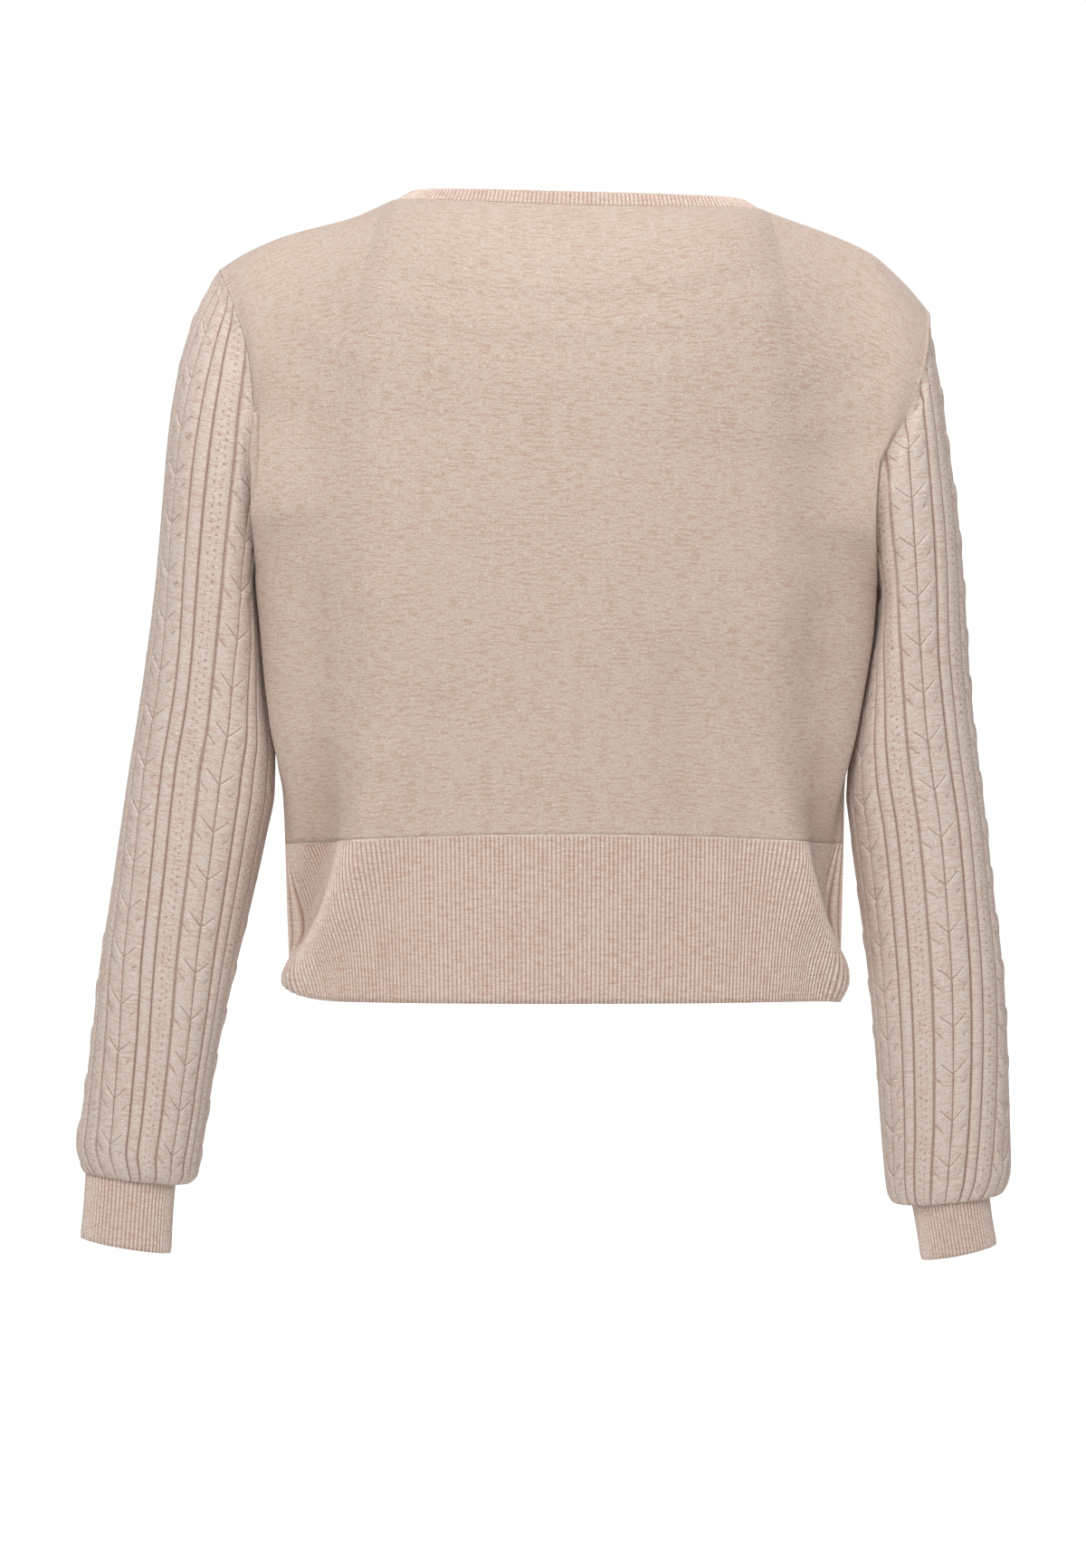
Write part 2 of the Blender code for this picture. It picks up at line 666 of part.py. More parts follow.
# The same columns for a cuff: its seam and its open end.
CUFF_LEFT = [(303.0, -597.32, 246.5, -604.32, 25.3, -52.5), (307.0, -641, 249.8, -651, 26, -58)]
CUFF_RIGHT = [(-262.6, -611.82, -213.6, -616.82, 28.3, -52.5), (-268.0, -645, -220.3, -655, 28.5, -58)]

# Ring number, how far the middle of one cable lies from the back of the sleeve towards the body, along the cloth
CABLE_LEFT = [(0, 50), (4, 30), (6, 20), (8, 14.5), (10, 18), (12, 24.5), (14, 25.5), (18, 22)]
CABLE_RIGHT = [(0, 22), (3, 12), (5, 2.5), (7, -6), (9, -10), (11, -6.5), (13, -1), (14, 3), (18, 6)]

REPEATS = 6
# Across one repeat of about 45 mm, from the middle of a cable towards the wearer's right, as both sleeves have it.
# share of the repeat, depth cut, kind of line
RELIEF = [
    (0.0, 1.0, "vein"),
    (0.135, 0.0, "plait"),
    (0.265, 1.3, "groove"),
    (0.355, 0.25, "rib"),
    (0.445, 1.3, "groove"),
    (0.52, 0.7, "rib"),
    (0.66, 0.7, "rib"),
    (0.735, 1.3, "groove"),
    (0.865, 0.0, "plait"),
]
V_PITCH = 29.8
V_TIP_HEIGHT = {LEFT: -182.0, RIGHT: -215.0}  # one tip, seen from the back
# share of a V's height, depth cut there
PLAIT = [(0.0, 0.9), (0.35, 0.0), (0.75, 0.1)]
PLAIT_START, PLAIT_LAST_RING = 4.0, 13.7
# ring numbers where each kind of line has a point
RIB_RINGS = [1.0, 2.2, 3.6, 5.2, 7.0, 9.0, 11.0, 12.6]
GROOVE_RINGS = [0.6, 1.3, 2.0, 2.8, 3.7, 4.7, 5.7, 6.7, 7.6, 8.5, 9.4, 10.4, 11.5, 12.7]
# ring number, share of the relief left where the sleeve is gathered
PUFF = [(14.0, 0.9), (15.0, 0.8), (16.0, 0.3), (17.0, 0.0)]
SEAM_RELIEF = 0.6  # share of the relief at the armhole
SQUARE = 0.78  # power on a section's sine and cosine where the sleeve hangs free: 1 is an ellipse
# Above this ring the wales run straight on, each keeping its direction round a line through the ring's middle.
STRAIGHT_RING = 6.0
STRAIGHT_LEAN = {LEFT: 0.105, RIGHT: -0.075}  # of that line, outwards for each millimetre down
STRAIGHT_FORWARD = -0.044
INSIDE_RINGS = [0.0, 1.0, 2.0, 3.0, 4.0, 5.5, 7.0, 8.5, 10.0, 11.5, 13.0, 14.0, 15.0, 16.0, 17.0, 18.0]
INSIDE_LINES = 18


class Sleeve:
    """The sleeve's outer surface by ring number and turn: 0 on the outer line, a quarter at the back, a half by the body."""

    def __init__(self, rings, side):
        self.rings, self.side = rings, side
        rows = [(i,) + row for i, row in enumerate(rings)]
        self.columns = [Curve(rows, column) for column in range(1, 9)]
        self.last = len(rings) - 1

    def ring(self, v, column):
        return self.columns[column](v)

    def base(self, v, turn):
        values = [self.ring(v, c) for c in range(6)]
        return self.placed(values, v, turn)

    def placed(self, values, v, turn):
        ox, oz, ix, iz, deep, y = values
        angle = math.tau * turn
        c, s = math.cos(angle), math.sin(angle)
        face = BACK if s >= 0 else FRONT
        early = 1 - smooth(v / 3.0)
        hole = armhole(self.side, math.acos(max(-1.0, min(1.0, c))), face)
        power = mixed(1.0, SQUARE, smooth(v / 4.0) * (1 - smooth((v - 11.0) / 4.0)))
        c, s = math.copysign(abs(c) ** power, c), math.copysign(abs(s) ** power, s)
        x = (ox + ix) / 2 + c * (ox - ix) / 2
        z = (oz + iz) / 2 + c * (oz - iz) / 2
        x += early * (hole[0] - mixed(self.rings[0][2], self.rings[0][0], (1 + c) / 2))
        deep = mixed(deep, ARMHOLE_DEPTH[face], 1 - smooth(v))
        return np.array([x, y + s * deep, z])

    def normal(self, v, turn):
        e = 2e-3
        low, high = max(v - e, 0.0), min(v + e, self.last)
        dv = self.base(high, turn) - self.base(low, turn)
        dt = self.base(v, turn + e) - self.base(v, turn - e)
        n = unit(np.cross(dv, dt))
        middle = (self.base(v, turn + 0.5) - self.base(v, turn)) if v < 14 else None
        if middle is not None and n @ middle > 0:
            n = -n
        return n

    def seam_normal(self, turn):
        e = 1e-3
        a, b = self.base(0.0, turn - e), self.base(0.0, turn + e)
        n = unit(np.array([0.0, b[2] - a[2], a[1] - b[1]]))
        outward = np.array([0.0, math.sin(math.tau * turn), math.cos(math.tau * turn)])
        return n if n @ outward > 0 else -n

    def inward(self, v, turn):
        """From the outer surface to the inner one, for a wall of one."""
        if v < 1e-6:
            return -self.seam_normal(turn)
        if v <= 14:
            return -self.normal(v, turn)
        middle = (self.base(v, 0.0) + self.base(v, 0.5)) / 2
        return unit(middle - self.base(v, turn))

    def arcs(self, v, count=96):
        """Length round the ring from its back towards the body, at each of count turns."""
        turns = [0.25 + i / count for i in range(count + 1)]
        points = [self.base(v, turn) for turn in turns]
        run = [0.0]
        for a, b in zip(points, points[1:]):
            run.append(run[-1] + float(np.linalg.norm(b - a)))
        return turns, run

    def directions(self, v, count=96):
        """Direction round the straight line, in turns and rising, at each of count turns."""
        turns = [i / count for i in range(count + 1)]
        centre = (self.base(STRAIGHT_RING, 0.0) + self.base(STRAIGHT_RING, 0.5)) / 2
        found = []
        for turn in turns:
            p = self.base(v, turn)
            down = centre[2] - p[2]
            x = p[0] - centre[0] - STRAIGHT_LEAN[self.side] * down
            y = p[1] - centre[1] - STRAIGHT_FORWARD * down
            found.append(math.atan2(y, self.side * x) / math.tau)
        return turns, np.maximum.accumulate(np.unwrap(found, period=1.0))

    def turn_at(self, v, share, cable_at):
        """The turn where a line lies: its share of the way round from the cable, or straight above STRAIGHT_RING."""
        turns, run = self.arcs(v)
        at = (cable_at(v) / run[-1] + share) % 1.0
        level = float(np.interp(at * run[-1], run, turns)) % 1.0
        free = smooth((v - STRAIGHT_RING + 1.5) / 2.5)
        if free == 1.0:
            return level
        turns, run = self.arcs(STRAIGHT_RING)
        at = (cable_at(STRAIGHT_RING) / run[-1] + share) % 1.0
        start = float(np.interp(at * run[-1], run, turns)) % 1.0
        turns, found = self.directions(STRAIGHT_RING)
        heading = float(np.interp(start, turns, found))
        turns, found = self.directions(v)
        heading = (heading - found[0]) % 1.0 + found[0]
        straight = float(np.interp(heading, found, turns))
        level += round(straight - level)
        return mixed(straight, level, free) % 1.0


def hole_point(side, turn):
    """On the straight lines between the body's own armhole points, as the body's rim runs."""
    c = math.cos(math.tau * turn)
    s = math.sin(math.tau * turn)
    face = BACK if s >= 0 else FRONT
    t = math.acos(max(-1.0, min(1.0, c))) / math.pi
    k = min(int(np.searchsorted(ARM_ROWS, t, side="right")) - 1, len(ARM_ROWS) - 2)
    part = (t - ARM_ROWS[k]) / (ARM_ROWS[k + 1] - ARM_ROWS[k])
    return mixed(armhole(side, math.pi * ARM_ROWS[k], face), armhole(side, math.pi * ARM_ROWS[k + 1], face), part)


def sleeve_shell(name, rings, side, cable):
    form, cable_at = Sleeve(rings, side), Curve(cable)
    # Length down the back of the sleeve, by ring number.
    many = [form.last * i / 200 for i in range(201)]
    backs = [form.base(v, 0.25) for v in many]
    run = [0.0]
    for a, b in zip(backs, backs[1:]):
        run.append(run[-1] + float(np.linalg.norm(b - a)))

    def v_at(length):
        return float(np.interp(length, run, many))

    whole = run[-1]
    heights = [p[2] for p in backs]
    first_tip = float(np.interp(V_TIP_HEIGHT[side], heights[::-1], run[::-1])) % V_PITCH
    plait_at = []
    tip = first_tip - V_PITCH
    while tip < whole:
        for share, cut in PLAIT:
            at = tip + share * V_PITCH
            if at > PLAIT_START and v_at(at) < PLAIT_LAST_RING:
                plait_at.append((v_at(at), cut))
        tip += V_PITCH
    outer = []
    for repeat in range(REPEATS):
        for share, cut, kind in RELIEF:
            if kind == "plait":
                samples = plait_at
            else:
                samples = [(v, cut) for v in (RIB_RINGS if kind == "rib" else GROOVE_RINGS)]
            puff = [(v, cut * left) for v, left in PUFF]
            samples = [(0.0, cut * SEAM_RELIEF)] + samples + puff + [(form.last, 0.0)]
            line = []
            for v, depth in samples:
                turn = form.turn_at(v, side * (repeat + share) / REPEATS, cable_at)
                if v == 0.0:
                    p = hole_point(side, turn) + np.array([side * ARMHOLE_GAP, 0, 0])
                else:
                    p = form.base(v, turn)
                line.append((v, turn, p + form.inward(v, turn) * depth))
            outer.append((line[0][1], line[-1][1], [(v, p) for v, _, p in line]))
    inner = []
    for k in range(INSIDE_LINES):
        turn = k / INSIDE_LINES
        line = []
        for v in INSIDE_RINGS:
            inset, lift = form.ring(v, 6), form.ring(v, 7)
            if v == 0.0:
                p = hole_point(side, turn) + np.array([side * ARMHOLE_GAP, 0, 0]) + form.inward(v, turn) * inset
            else:
                p = form.base(v, turn) + form.inward(v, turn) * inset + np.array([0, 0, lift])
            line.append((v, p))
        inner.append((turn, turn, line))
    shell(name, outer, inner, True)


CUFF_RADIUS = 27.0  # on average, for the count of ribs
CUFF_INSIDE_LINES = 14


def cuff_shell(name, rings):
    def at(v, turn, cut):
        ox, oz, ix, iz, deep, y = [mixed(a, b, v) for a, b in zip(*rings)]
        c, s = math.cos(math.tau * turn), math.sin(math.tau * turn)
        middle = np.array([(ox + ix) / 2, y, (oz + iz) / 2])
        p = middle + c * np.array([(ox - ix) / 2, 0, (oz - iz) / 2]) + s * np.array([0, deep, 0])
        return p + unit(middle - p) * cut

    ribs = round(math.tau * CUFF_RADIUS / RIB_PITCH)
    outer = []
    for k in range(2 * ribs):
        turn = k / (2 * ribs)
        cut = RIB_CUT if k % 2 else 0.0
        outer.append((turn, turn, [(v, at(v, turn, cut)) for v in (0.0, 1.0)]))
    inner = []
    for k in range(CUFF_INSIDE_LINES):
        turn = k / CUFF_INSIDE_LINES
        inner.append((turn, turn, [(v, at(v, turn, RIB_WALL)) for v in (0.0, 1.0)]))
    shell(name, outer, inner, True)


sleeve_shell("sleeve_left", SLEEVE_LEFT, LEFT, CABLE_LEFT)
sleeve_shell("sleeve_right", SLEEVE_RIGHT, RIGHT, CABLE_RIGHT)
cuff_shell("cuff_left", CUFF_LEFT)
cuff_shell("cuff_right", CUFF_RIGHT)
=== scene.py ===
"""Cropped cardigan with a plain body and cabled sleeves, filled out as worn: its knit over the solids.

X is to the wearer's left, the front faces -Y and the origin is the base of the neck. Sizes are millimetres
until a mesh is made. The tables of sizes are the ones that the solids were cut from.
"""

import bpy
import numpy as np
from mathutils import Matrix


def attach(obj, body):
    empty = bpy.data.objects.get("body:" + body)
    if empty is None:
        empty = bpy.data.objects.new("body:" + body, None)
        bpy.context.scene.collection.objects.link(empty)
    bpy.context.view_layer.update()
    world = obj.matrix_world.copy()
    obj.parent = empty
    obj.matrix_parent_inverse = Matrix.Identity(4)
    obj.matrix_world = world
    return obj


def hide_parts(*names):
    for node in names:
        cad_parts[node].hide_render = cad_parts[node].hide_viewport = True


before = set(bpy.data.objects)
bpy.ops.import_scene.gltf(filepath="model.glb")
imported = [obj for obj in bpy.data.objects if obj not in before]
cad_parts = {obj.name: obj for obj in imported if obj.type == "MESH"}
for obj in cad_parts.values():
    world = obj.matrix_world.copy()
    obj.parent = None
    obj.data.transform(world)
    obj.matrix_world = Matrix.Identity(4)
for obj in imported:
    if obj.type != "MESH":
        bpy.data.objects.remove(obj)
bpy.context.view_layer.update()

# ---------------------------------------------------------------- view, light and floor
# A plain white studio: a long lens level with the middle of the garment, behind its back, a broad soft
# light above the camera, one over the shoulders and one before the front, and a pale round floor below.

scene = bpy.context.scene
lens = bpy.data.cameras.new("camera")
lens.lens, lens.sensor_width = 111.95, 36.0
camera = bpy.data.objects.new("camera", lens)
camera.location = (0.0167, 3.0, -0.357)
camera.rotation_euler = (np.pi / 2, 0.0, np.pi)
scene.collection.objects.link(camera)
scene.camera = camera


def tune(node, **values):
    """Sets a node's own inputs. An underscore stands for the space in an input's name."""
    for slot, value in values.items():
        node.inputs[slot.replace("_", " ")].default_value = value


world = bpy.data.worlds.new("studio")
world.use_nodes = True
scene.world = world
sky = world.node_tree
seen, shining = sky.nodes["Background"], sky.nodes.new("ShaderNodeBackground")
tune(seen, Color=(1.0, 1.0, 1.0, 1.0), Strength=1.1)
tune(shining, Color=(1.0, 0.99, 0.98, 1.0), Strength=0.45)
either = sky.nodes.new("ShaderNodeMixShader")
ray = sky.nodes.new("ShaderNodeLightPath")
sky.links.new(ray.outputs["Is Camera Ray"], either.inputs[0])
sky.links.new(shining.outputs[0], either.inputs[1])
sky.links.new(seen.outputs[0], either.inputs[2])
sky.links.new(either.outputs[0], sky.nodes["World Output"].inputs[0])
scene.view_settings.view_transform = "Standard"


def softbox(name, place, turn, size, power):
    light = bpy.data.lights.new(name, "AREA")
    light.shape, light.size, light.energy = "DISK", size, power
    box = bpy.data.objects.new(name, light)
    box.location, box.rotation_euler = place, turn
    scene.collection.objects.link(box)


def new_material(name):
    """A material, its node tree and its shader."""
    made = bpy.data.materials.new(name)
    made.use_nodes = True
    return made, made.node_tree, made.node_tree.nodes["Principled BSDF"]


softbox("key_light", (0.45, 2.9, 0.9), (np.radians(-67), 0.0, np.radians(-9)), 1.5, 50.0)
softbox("top_light", (0.0, 0.3, 1.95), (np.radians(-7), 0.0, 0.0), 1.5, 20.0)
softbox("front_light", (-0.45, -2.9, 0.9), (np.radians(67), 0.0, np.radians(-9)), 1.5, 38.0)

FLOOR_RADIUS, FLOOR_THICK, FLOOR_HEIGHT = 2.3, 0.02, -1.4
bpy.ops.object.select_all(action="DESELECT")
bpy.ops.mesh.primitive_cylinder_add(
    vertices=96, radius=FLOOR_RADIUS, depth=FLOOR_THICK, location=(0, 0, FLOOR_HEIGHT)
)
floor = bpy.context.object
floor.name = "floor"
bpy.ops.object.transform_apply(location=True)
paint, _, coat = new_material("floor_paint")
tune(coat, Base_Color=(0.82, 0.81, 0.8, 1.0), Roughness=0.7)
floor.data.materials.append(paint)

# ---------------------------------------------------------------- back
# One panel of plain jersey in a carded wool yarn, oatmeal with pinkish flecks, fine gauge: about 1.7 mm a
# stitch and 1.2 mm a row. It is linked to the fronts at the shoulders and sides, and hangs in soft folds.

MM = 0.001
LEFT, RIGHT = 1, -1
BACK, FRONT = 1, -1
SEAM_GAP = 0.3
JERSEY_WALL = 1.8

SHOULDER_TIP = {LEFT: -40.7, RIGHT: -66.8}
UNDERARM = {LEFT: -228.0, RIGHT: -235.0}
ARMHOLE_DEPTH = {BACK: 56.0, FRONT: 50.0}
# height, distance of the armhole seam from the middle
ARMHOLE_LEFT = [(-240, 191.0), (-180, 190.5), (-130, 191.5), (-100, 194.5), (-66, 204.5), (-40, 215.8)]
ARMHOLE_RIGHT = [(-240, 187.6), (-200, 185.5), (-165, 187.0), (-136, 202), (-100, 215.5), (-66, 220.6)]
# height, left side, right side, back depth, front depth
BODY = [
    (-500, 171.5, -164.5, 73, -80),
    (-475, 172.5, -166.0, 75, -82),
    (-432, 174.3, -167.4, 79, -86),
    (-387, 175.6, -168.4, 83, -90),
    (-361, 177.0, -168.8, 86, -94),
    (-345, 180.0, -170.6, 88, -97),
    (-320, 183.2, -174.5, 91, -101),
    (-292, 186.6, -180.0, 95, -106),
    (-264, 188.8, -184.6, 99, -110),
    (-228, 191.2, -187.0, 102, -112),
    (-180, 191.2, -187.0, 104, -110),
    (-134, 191.2, -187.0, 103, -104),
]
# height, squareness of the section, its fullness
SECTION = [(-500, 2.3, 0.5), (-387, 2.35, 0.5), (-228, 2.45, 0.5), (-134, 2.4, 0.68)]
# height, how far the cloth swells out beside the left and the right side seam, hanging over the sleeve
SIDE_SWELL = [
    (-392, 0, 0),
    (-375, 2, 3),
    (-345, 5, 7.5),
    (-320, 7.5, 9),
    (-298, 7.5, 8.5),
    (-231, 8.5, 7.2),
    (-187, 10.5, 5),
    (-160, 9.5, 5),
    (-130, 5, 3),
    (-95, 0, 0),
]
SWELL_SHARE = {(LEFT, BACK): 1.0, (RIGHT, BACK): 1.0, (LEFT, FRONT): 0.4, (RIGHT, FRONT): 0.3}
SWELL_REACH = 0.42  # in half widths from the seam
SWELL_START, SWELL_TOP = 0.12, 0.48  # in shares of that reach
WELT_SEAM_SIDE, WELT_SEAM_MIDDLE = -393.5, -387.0
HEM_MIDDLE = -489.0
HEM_SIDE = {LEFT: -479.0, RIGHT: -491.0}
NECK_POINT = {LEFT: (107.5, 1.7), RIGHT: (-117.0, -3.9)}
SHOULDER = {
    LEFT: [(107.5, 1.7), (131, -8.4), (172.7, -19.5), (199.4, -30.6), (215.8, -40.7)],
    RIGHT: [(117, -3.9), (129.2, -8.4), (160, -19.5), (184, -30.6)]
    + [(197.7, -41.8), (208.9, -52.9), (220.6, -66.8)],
}
NECK_DEPTH = {BACK: 50.0, FRONT: -86.0}
NECK_DROP = {BACK: -6.5, FRONT: -86.0}
NECK_COLUMN = 0.5  # the wale that ends on the neck point


def through(rows, column=1):
    """A smooth curve, with no overshoot, through one column of a table whose first column rises."""
    keys = np.array([row[0] for row in rows], float)
    values = np.array([row[column] for row in rows], float)
    rise = np.diff(values) / np.diff(keys)
    product = rise[:-1] * rise[1:]
    total = np.where(product > 0, rise[:-1] + rise[1:], 1.0)
    slopes = np.concatenate([rise[:1], np.where(product > 0, 2 * product / total, 0.0), rise[-1:]])

    def at(key):
        key = np.clip(key, keys[0], keys[-1])
        i = np.clip(np.searchsorted(keys, key) - 1, 0, len(keys) - 2)
        span = keys[i + 1] - keys[i]
        t = (key - keys[i]) / span
        start = values[i] * (1 + 2 * t) * (1 - t) ** 2 + span * slopes[i] * t * (1 - t) ** 2
        return start + values[i + 1] * t * t * (3 - 2 * t) - span * slopes[i + 1] * t * t * (1 - t)

    return at


def mixed(a, b, t):
    return a + (b - a) * t


def ease(t):
    t = np.clip(t, 0.0, 1.0)
    return t * t * (3 - 2 * t)


def points(x, y, z):
    return np.stack(np.broadcast_arrays(x, y, z), -1).astype(float)


def unit(v):
    return v / np.linalg.norm(v, axis=-1, keepdims=True)


def facing(n, way):
    """n, turned round where it points away from this way."""
    return np.where((n * way).sum(-1, keepdims=True) > 0, n, -n)


hole_x = {LEFT: through(ARMHOLE_LEFT), RIGHT: through(ARMHOLE_RIGHT)}
side_x = {LEFT: through(BODY, 1), RIGHT: through(BODY, 2)}
body_depth = {BACK: through(BODY, 3), FRONT: through(BODY, 4)}
squareness, fullness = through(SECTION, 1), through(SECTION, 2)
side_swell = {LEFT: through(SIDE_SWELL, 1), RIGHT: through(SIDE_SWELL, 2)}
shoulder_z = {side: through(line) for side, line in SHOULDER.items()}


def armhole(side, angle, face):
    """The armhole seam: angle 0 at the shoulder tip, pi under the arm."""
    middle = (SHOULDER_TIP[side] + UNDERARM[side]) / 2
    z = middle + (SHOULDER_TIP[side] - middle) * np.cos(angle)
    return points(side * hole_x[side](z), face * ARMHOLE_DEPTH[face] * np.sin(angle), z)


def square_to_hole(a, b, outward):
    """Square to an armhole seam between its points a and b as seen from the side, and outwards."""
    hole = points(0.0, b[..., 2] - a[..., 2], a[..., 1] - b[..., 1])
    return facing(hole / np.maximum(np.linalg.norm(hole, axis=-1, keepdims=True), 1e-9), outward)


def panel_edge(side, t, face):
    """Down the panel's edge: the armhole for t 0 to 1, the side seam to 2, the side of the welt to 3."""
    low = mixed(WELT_SEAM_SIDE, HEM_SIDE[side], t - 2)
    z = np.where(t <= 2, mixed(UNDERARM[side], WELT_SEAM_SIDE, t - 1), low)
    below = points(side_x[side](z), 0.0, z)
    return np.where((t <= 1)[..., None], armhole(side, np.pi * np.minimum(t, 1.0), face), below)


def full_row(s, t, face):
    """A row below the shoulders, s -1 at the right edge to 1 at the left one."""
    left, right = panel_edge(LEFT, t, face), panel_edge(RIGHT, t, face)
    middle = (left + right) / 2
    share = ((1 + s) / 2)[..., None]
    x, y = np.moveaxis(mixed(right, left, share)[..., :2], -1, 0)
    height = middle[..., 2]
    round_off = np.maximum(1 - np.abs(s) ** squareness(height), 0.0) ** fullness(height)
    # The sheets come together more and more sharply towards the underarm and down the side seam.
    rim = 11 + 60 * ease((t - 0.7) / 0.3)
    y = y * np.abs(s) ** rim + body_depth[face](height) * round_off
    drop = mixed(WELT_SEAM_MIDDLE, HEM_MIDDLE, t - 2)
    centre = np.where(t <= 2, height + (t - 1) * (WELT_SEAM_MIDDLE - WELT_SEAM_SIDE), drop)
    bend = np.where(t <= 2, np.maximum(t, 1.0), 2 + 18 * (t - 2))
    lifted = centre + np.abs(s) ** bend * (np.where(s > 0, left[..., 2], right[..., 2]) - centre)
    level = height + s * (left[..., 2] - right[..., 2]) / 2
    return points(x, y, np.where(t <= 1, level, lifted))


def top_line(u, face):
    """The shoulder seams, and between the neck points the neckline."""
    out = np.maximum(np.abs(u) - NECK_COLUMN, 0.0) / (1 - NECK_COLUMN)
    sides = []
    for side in (LEFT, RIGHT):
        line = SHOULDER[side]
        x = mixed(line[0][0], line[-1][0], out)
        sides.append(points(side * x, 0.0, shoulder_z[side](x)))
    shoulder = np.where((u >= 0)[..., None], sides[0], sides[1])
    (x1, z1), (x2, z2) = NECK_POINT[LEFT], NECK_POINT[RIGHT]
    turn = np.sin(np.pi / 2 * u / NECK_COLUMN)
    deep = np.cos(np.pi / 2 * np.clip(u / NECK_COLUMN, -1, 1))
    fall = deep if face == FRONT else deep**2
    z = (z1 + z2) / 2 + turn * (z1 - z2) / 2 + (NECK_DROP[face] - (z1 + z2) / 2) * fall
    neck = points((x1 + x2) / 2 + turn * (x1 - x2) / 2, NECK_DEPTH[face] * deep, z)
    return np.where((np.abs(u) >= NECK_COLUMN)[..., None], shoulder, neck)


# across, height, reach across and down, how far it stands out: the folds that the solids have too
LARGE_FOLDS = [
    (150, -420, 30, 70, 3.0),
    (-150, -430, 26, 70, 3.0),
    (60, -400, 26, 60, -2.5),
    (-68, -330, 24, 55, -2.5),
    (118, -170, 22, 90, 1.5),
    (-118, -175, 22, 90, 1.5),
]


def cloth(u, t, face):
    """The body's outer surface: u -1 at the right edge to 1 at the left one, t down as in panel_edge()."""
    u, t = np.broadcast_arrays(np.asarray(u, float), np.asarray(t, float))
    s = np.sin(np.pi / 2 * u)
    low = full_row(s, np.maximum(t, 0.5), face)
    top, full = top_line(u, face), full_row(s, np.full_like(t, 0.5), face)
    level = mixed(0.6 if face == BACK else 0.3, 1.0, ease(np.abs(u) / NECK_COLUMN))
    share = np.minimum(t, 0.5)
    turn = np.pi * share
    across = mixed(2 * share, np.sin(turn), 0.3)
    deep = mixed(1 - (1 - 2 * share) ** 2, np.sin(turn), level)
    down = mixed(2 * share, 1 - np.cos(turn), level)
    ways = enumerate((across, deep, down))
    high = np.stack([mixed(top[..., i], full[..., i], way) for i, way in ways], -1)
    for side in (LEFT, RIGHT):
        rim = armhole(side, turn, face)[..., 0]
        widest = armhole(side, np.array(np.pi / 2), face)[..., 0]
        straight = mixed(side * SHOULDER[side][-1][0], widest, across)
        high[..., 0] += np.where(u * side >= 0, (rim - straight) * np.abs(u) ** 6, 0.0)
    p = np.where((t >= 0.5)[..., None], low, high)
    # The cloth swells beside the side seams, and not at the seams themselves.
    reach = (1 - np.abs(u)) / SWELL_REACH
    bulge = ease((reach - SWELL_START) / (SWELL_TOP - SWELL_START))
    bulge = bulge * (1 - ease((reach - SWELL_TOP) / (1 - SWELL_TOP)))
    for side in (LEFT, RIGHT):
        swell = side * SWELL_SHARE[side, face] * side_swell[side](p[..., 2])
        p[..., 0] += np.where(u * side > 0, bulge * swell, 0.0)
    if face == BACK:
        out = 0.0
        for x, z, wide, tall, height in LARGE_FOLDS:
            out = out + height * np.exp(-(((p[..., 0] - x) / wide) ** 2) - ((p[..., 2] - z) / tall) ** 2)
        p[..., 1] += out * np.sqrt(np.maximum(1 - s * s, 0.0))
    p[..., 1] += face * SEAM_GAP / 2
    return p


def collar_frame(u, face):
    """At the neckline: the way up the neckband, and its outward side."""
    turn = np.pi / 2 * u / NECK_COLUMN
    inward = (0.85 - (0.35 if face == BACK else 0.5) * np.cos(turn) ** 2)[..., None]
    away = points(np.sin(turn), face * np.cos(turn), 0.0)
    up = unit(np.array([0.0, 0.0, 1.0]) * np.sqrt(1 - inward**2) - inward * away)
    e = 1e-3
    at_point = (NECK_COLUMN - np.abs(u) < 2 * e)[..., None]
    along = np.where(at_point, [0.0, 1.0, 0.0], unit(top_line(u + e, face) - top_line(u - e, face)))
    up = unit(up - along * (up * along).sum(-1, keepdims=True))
    return up, facing(unit(np.cross(along, up)), away)


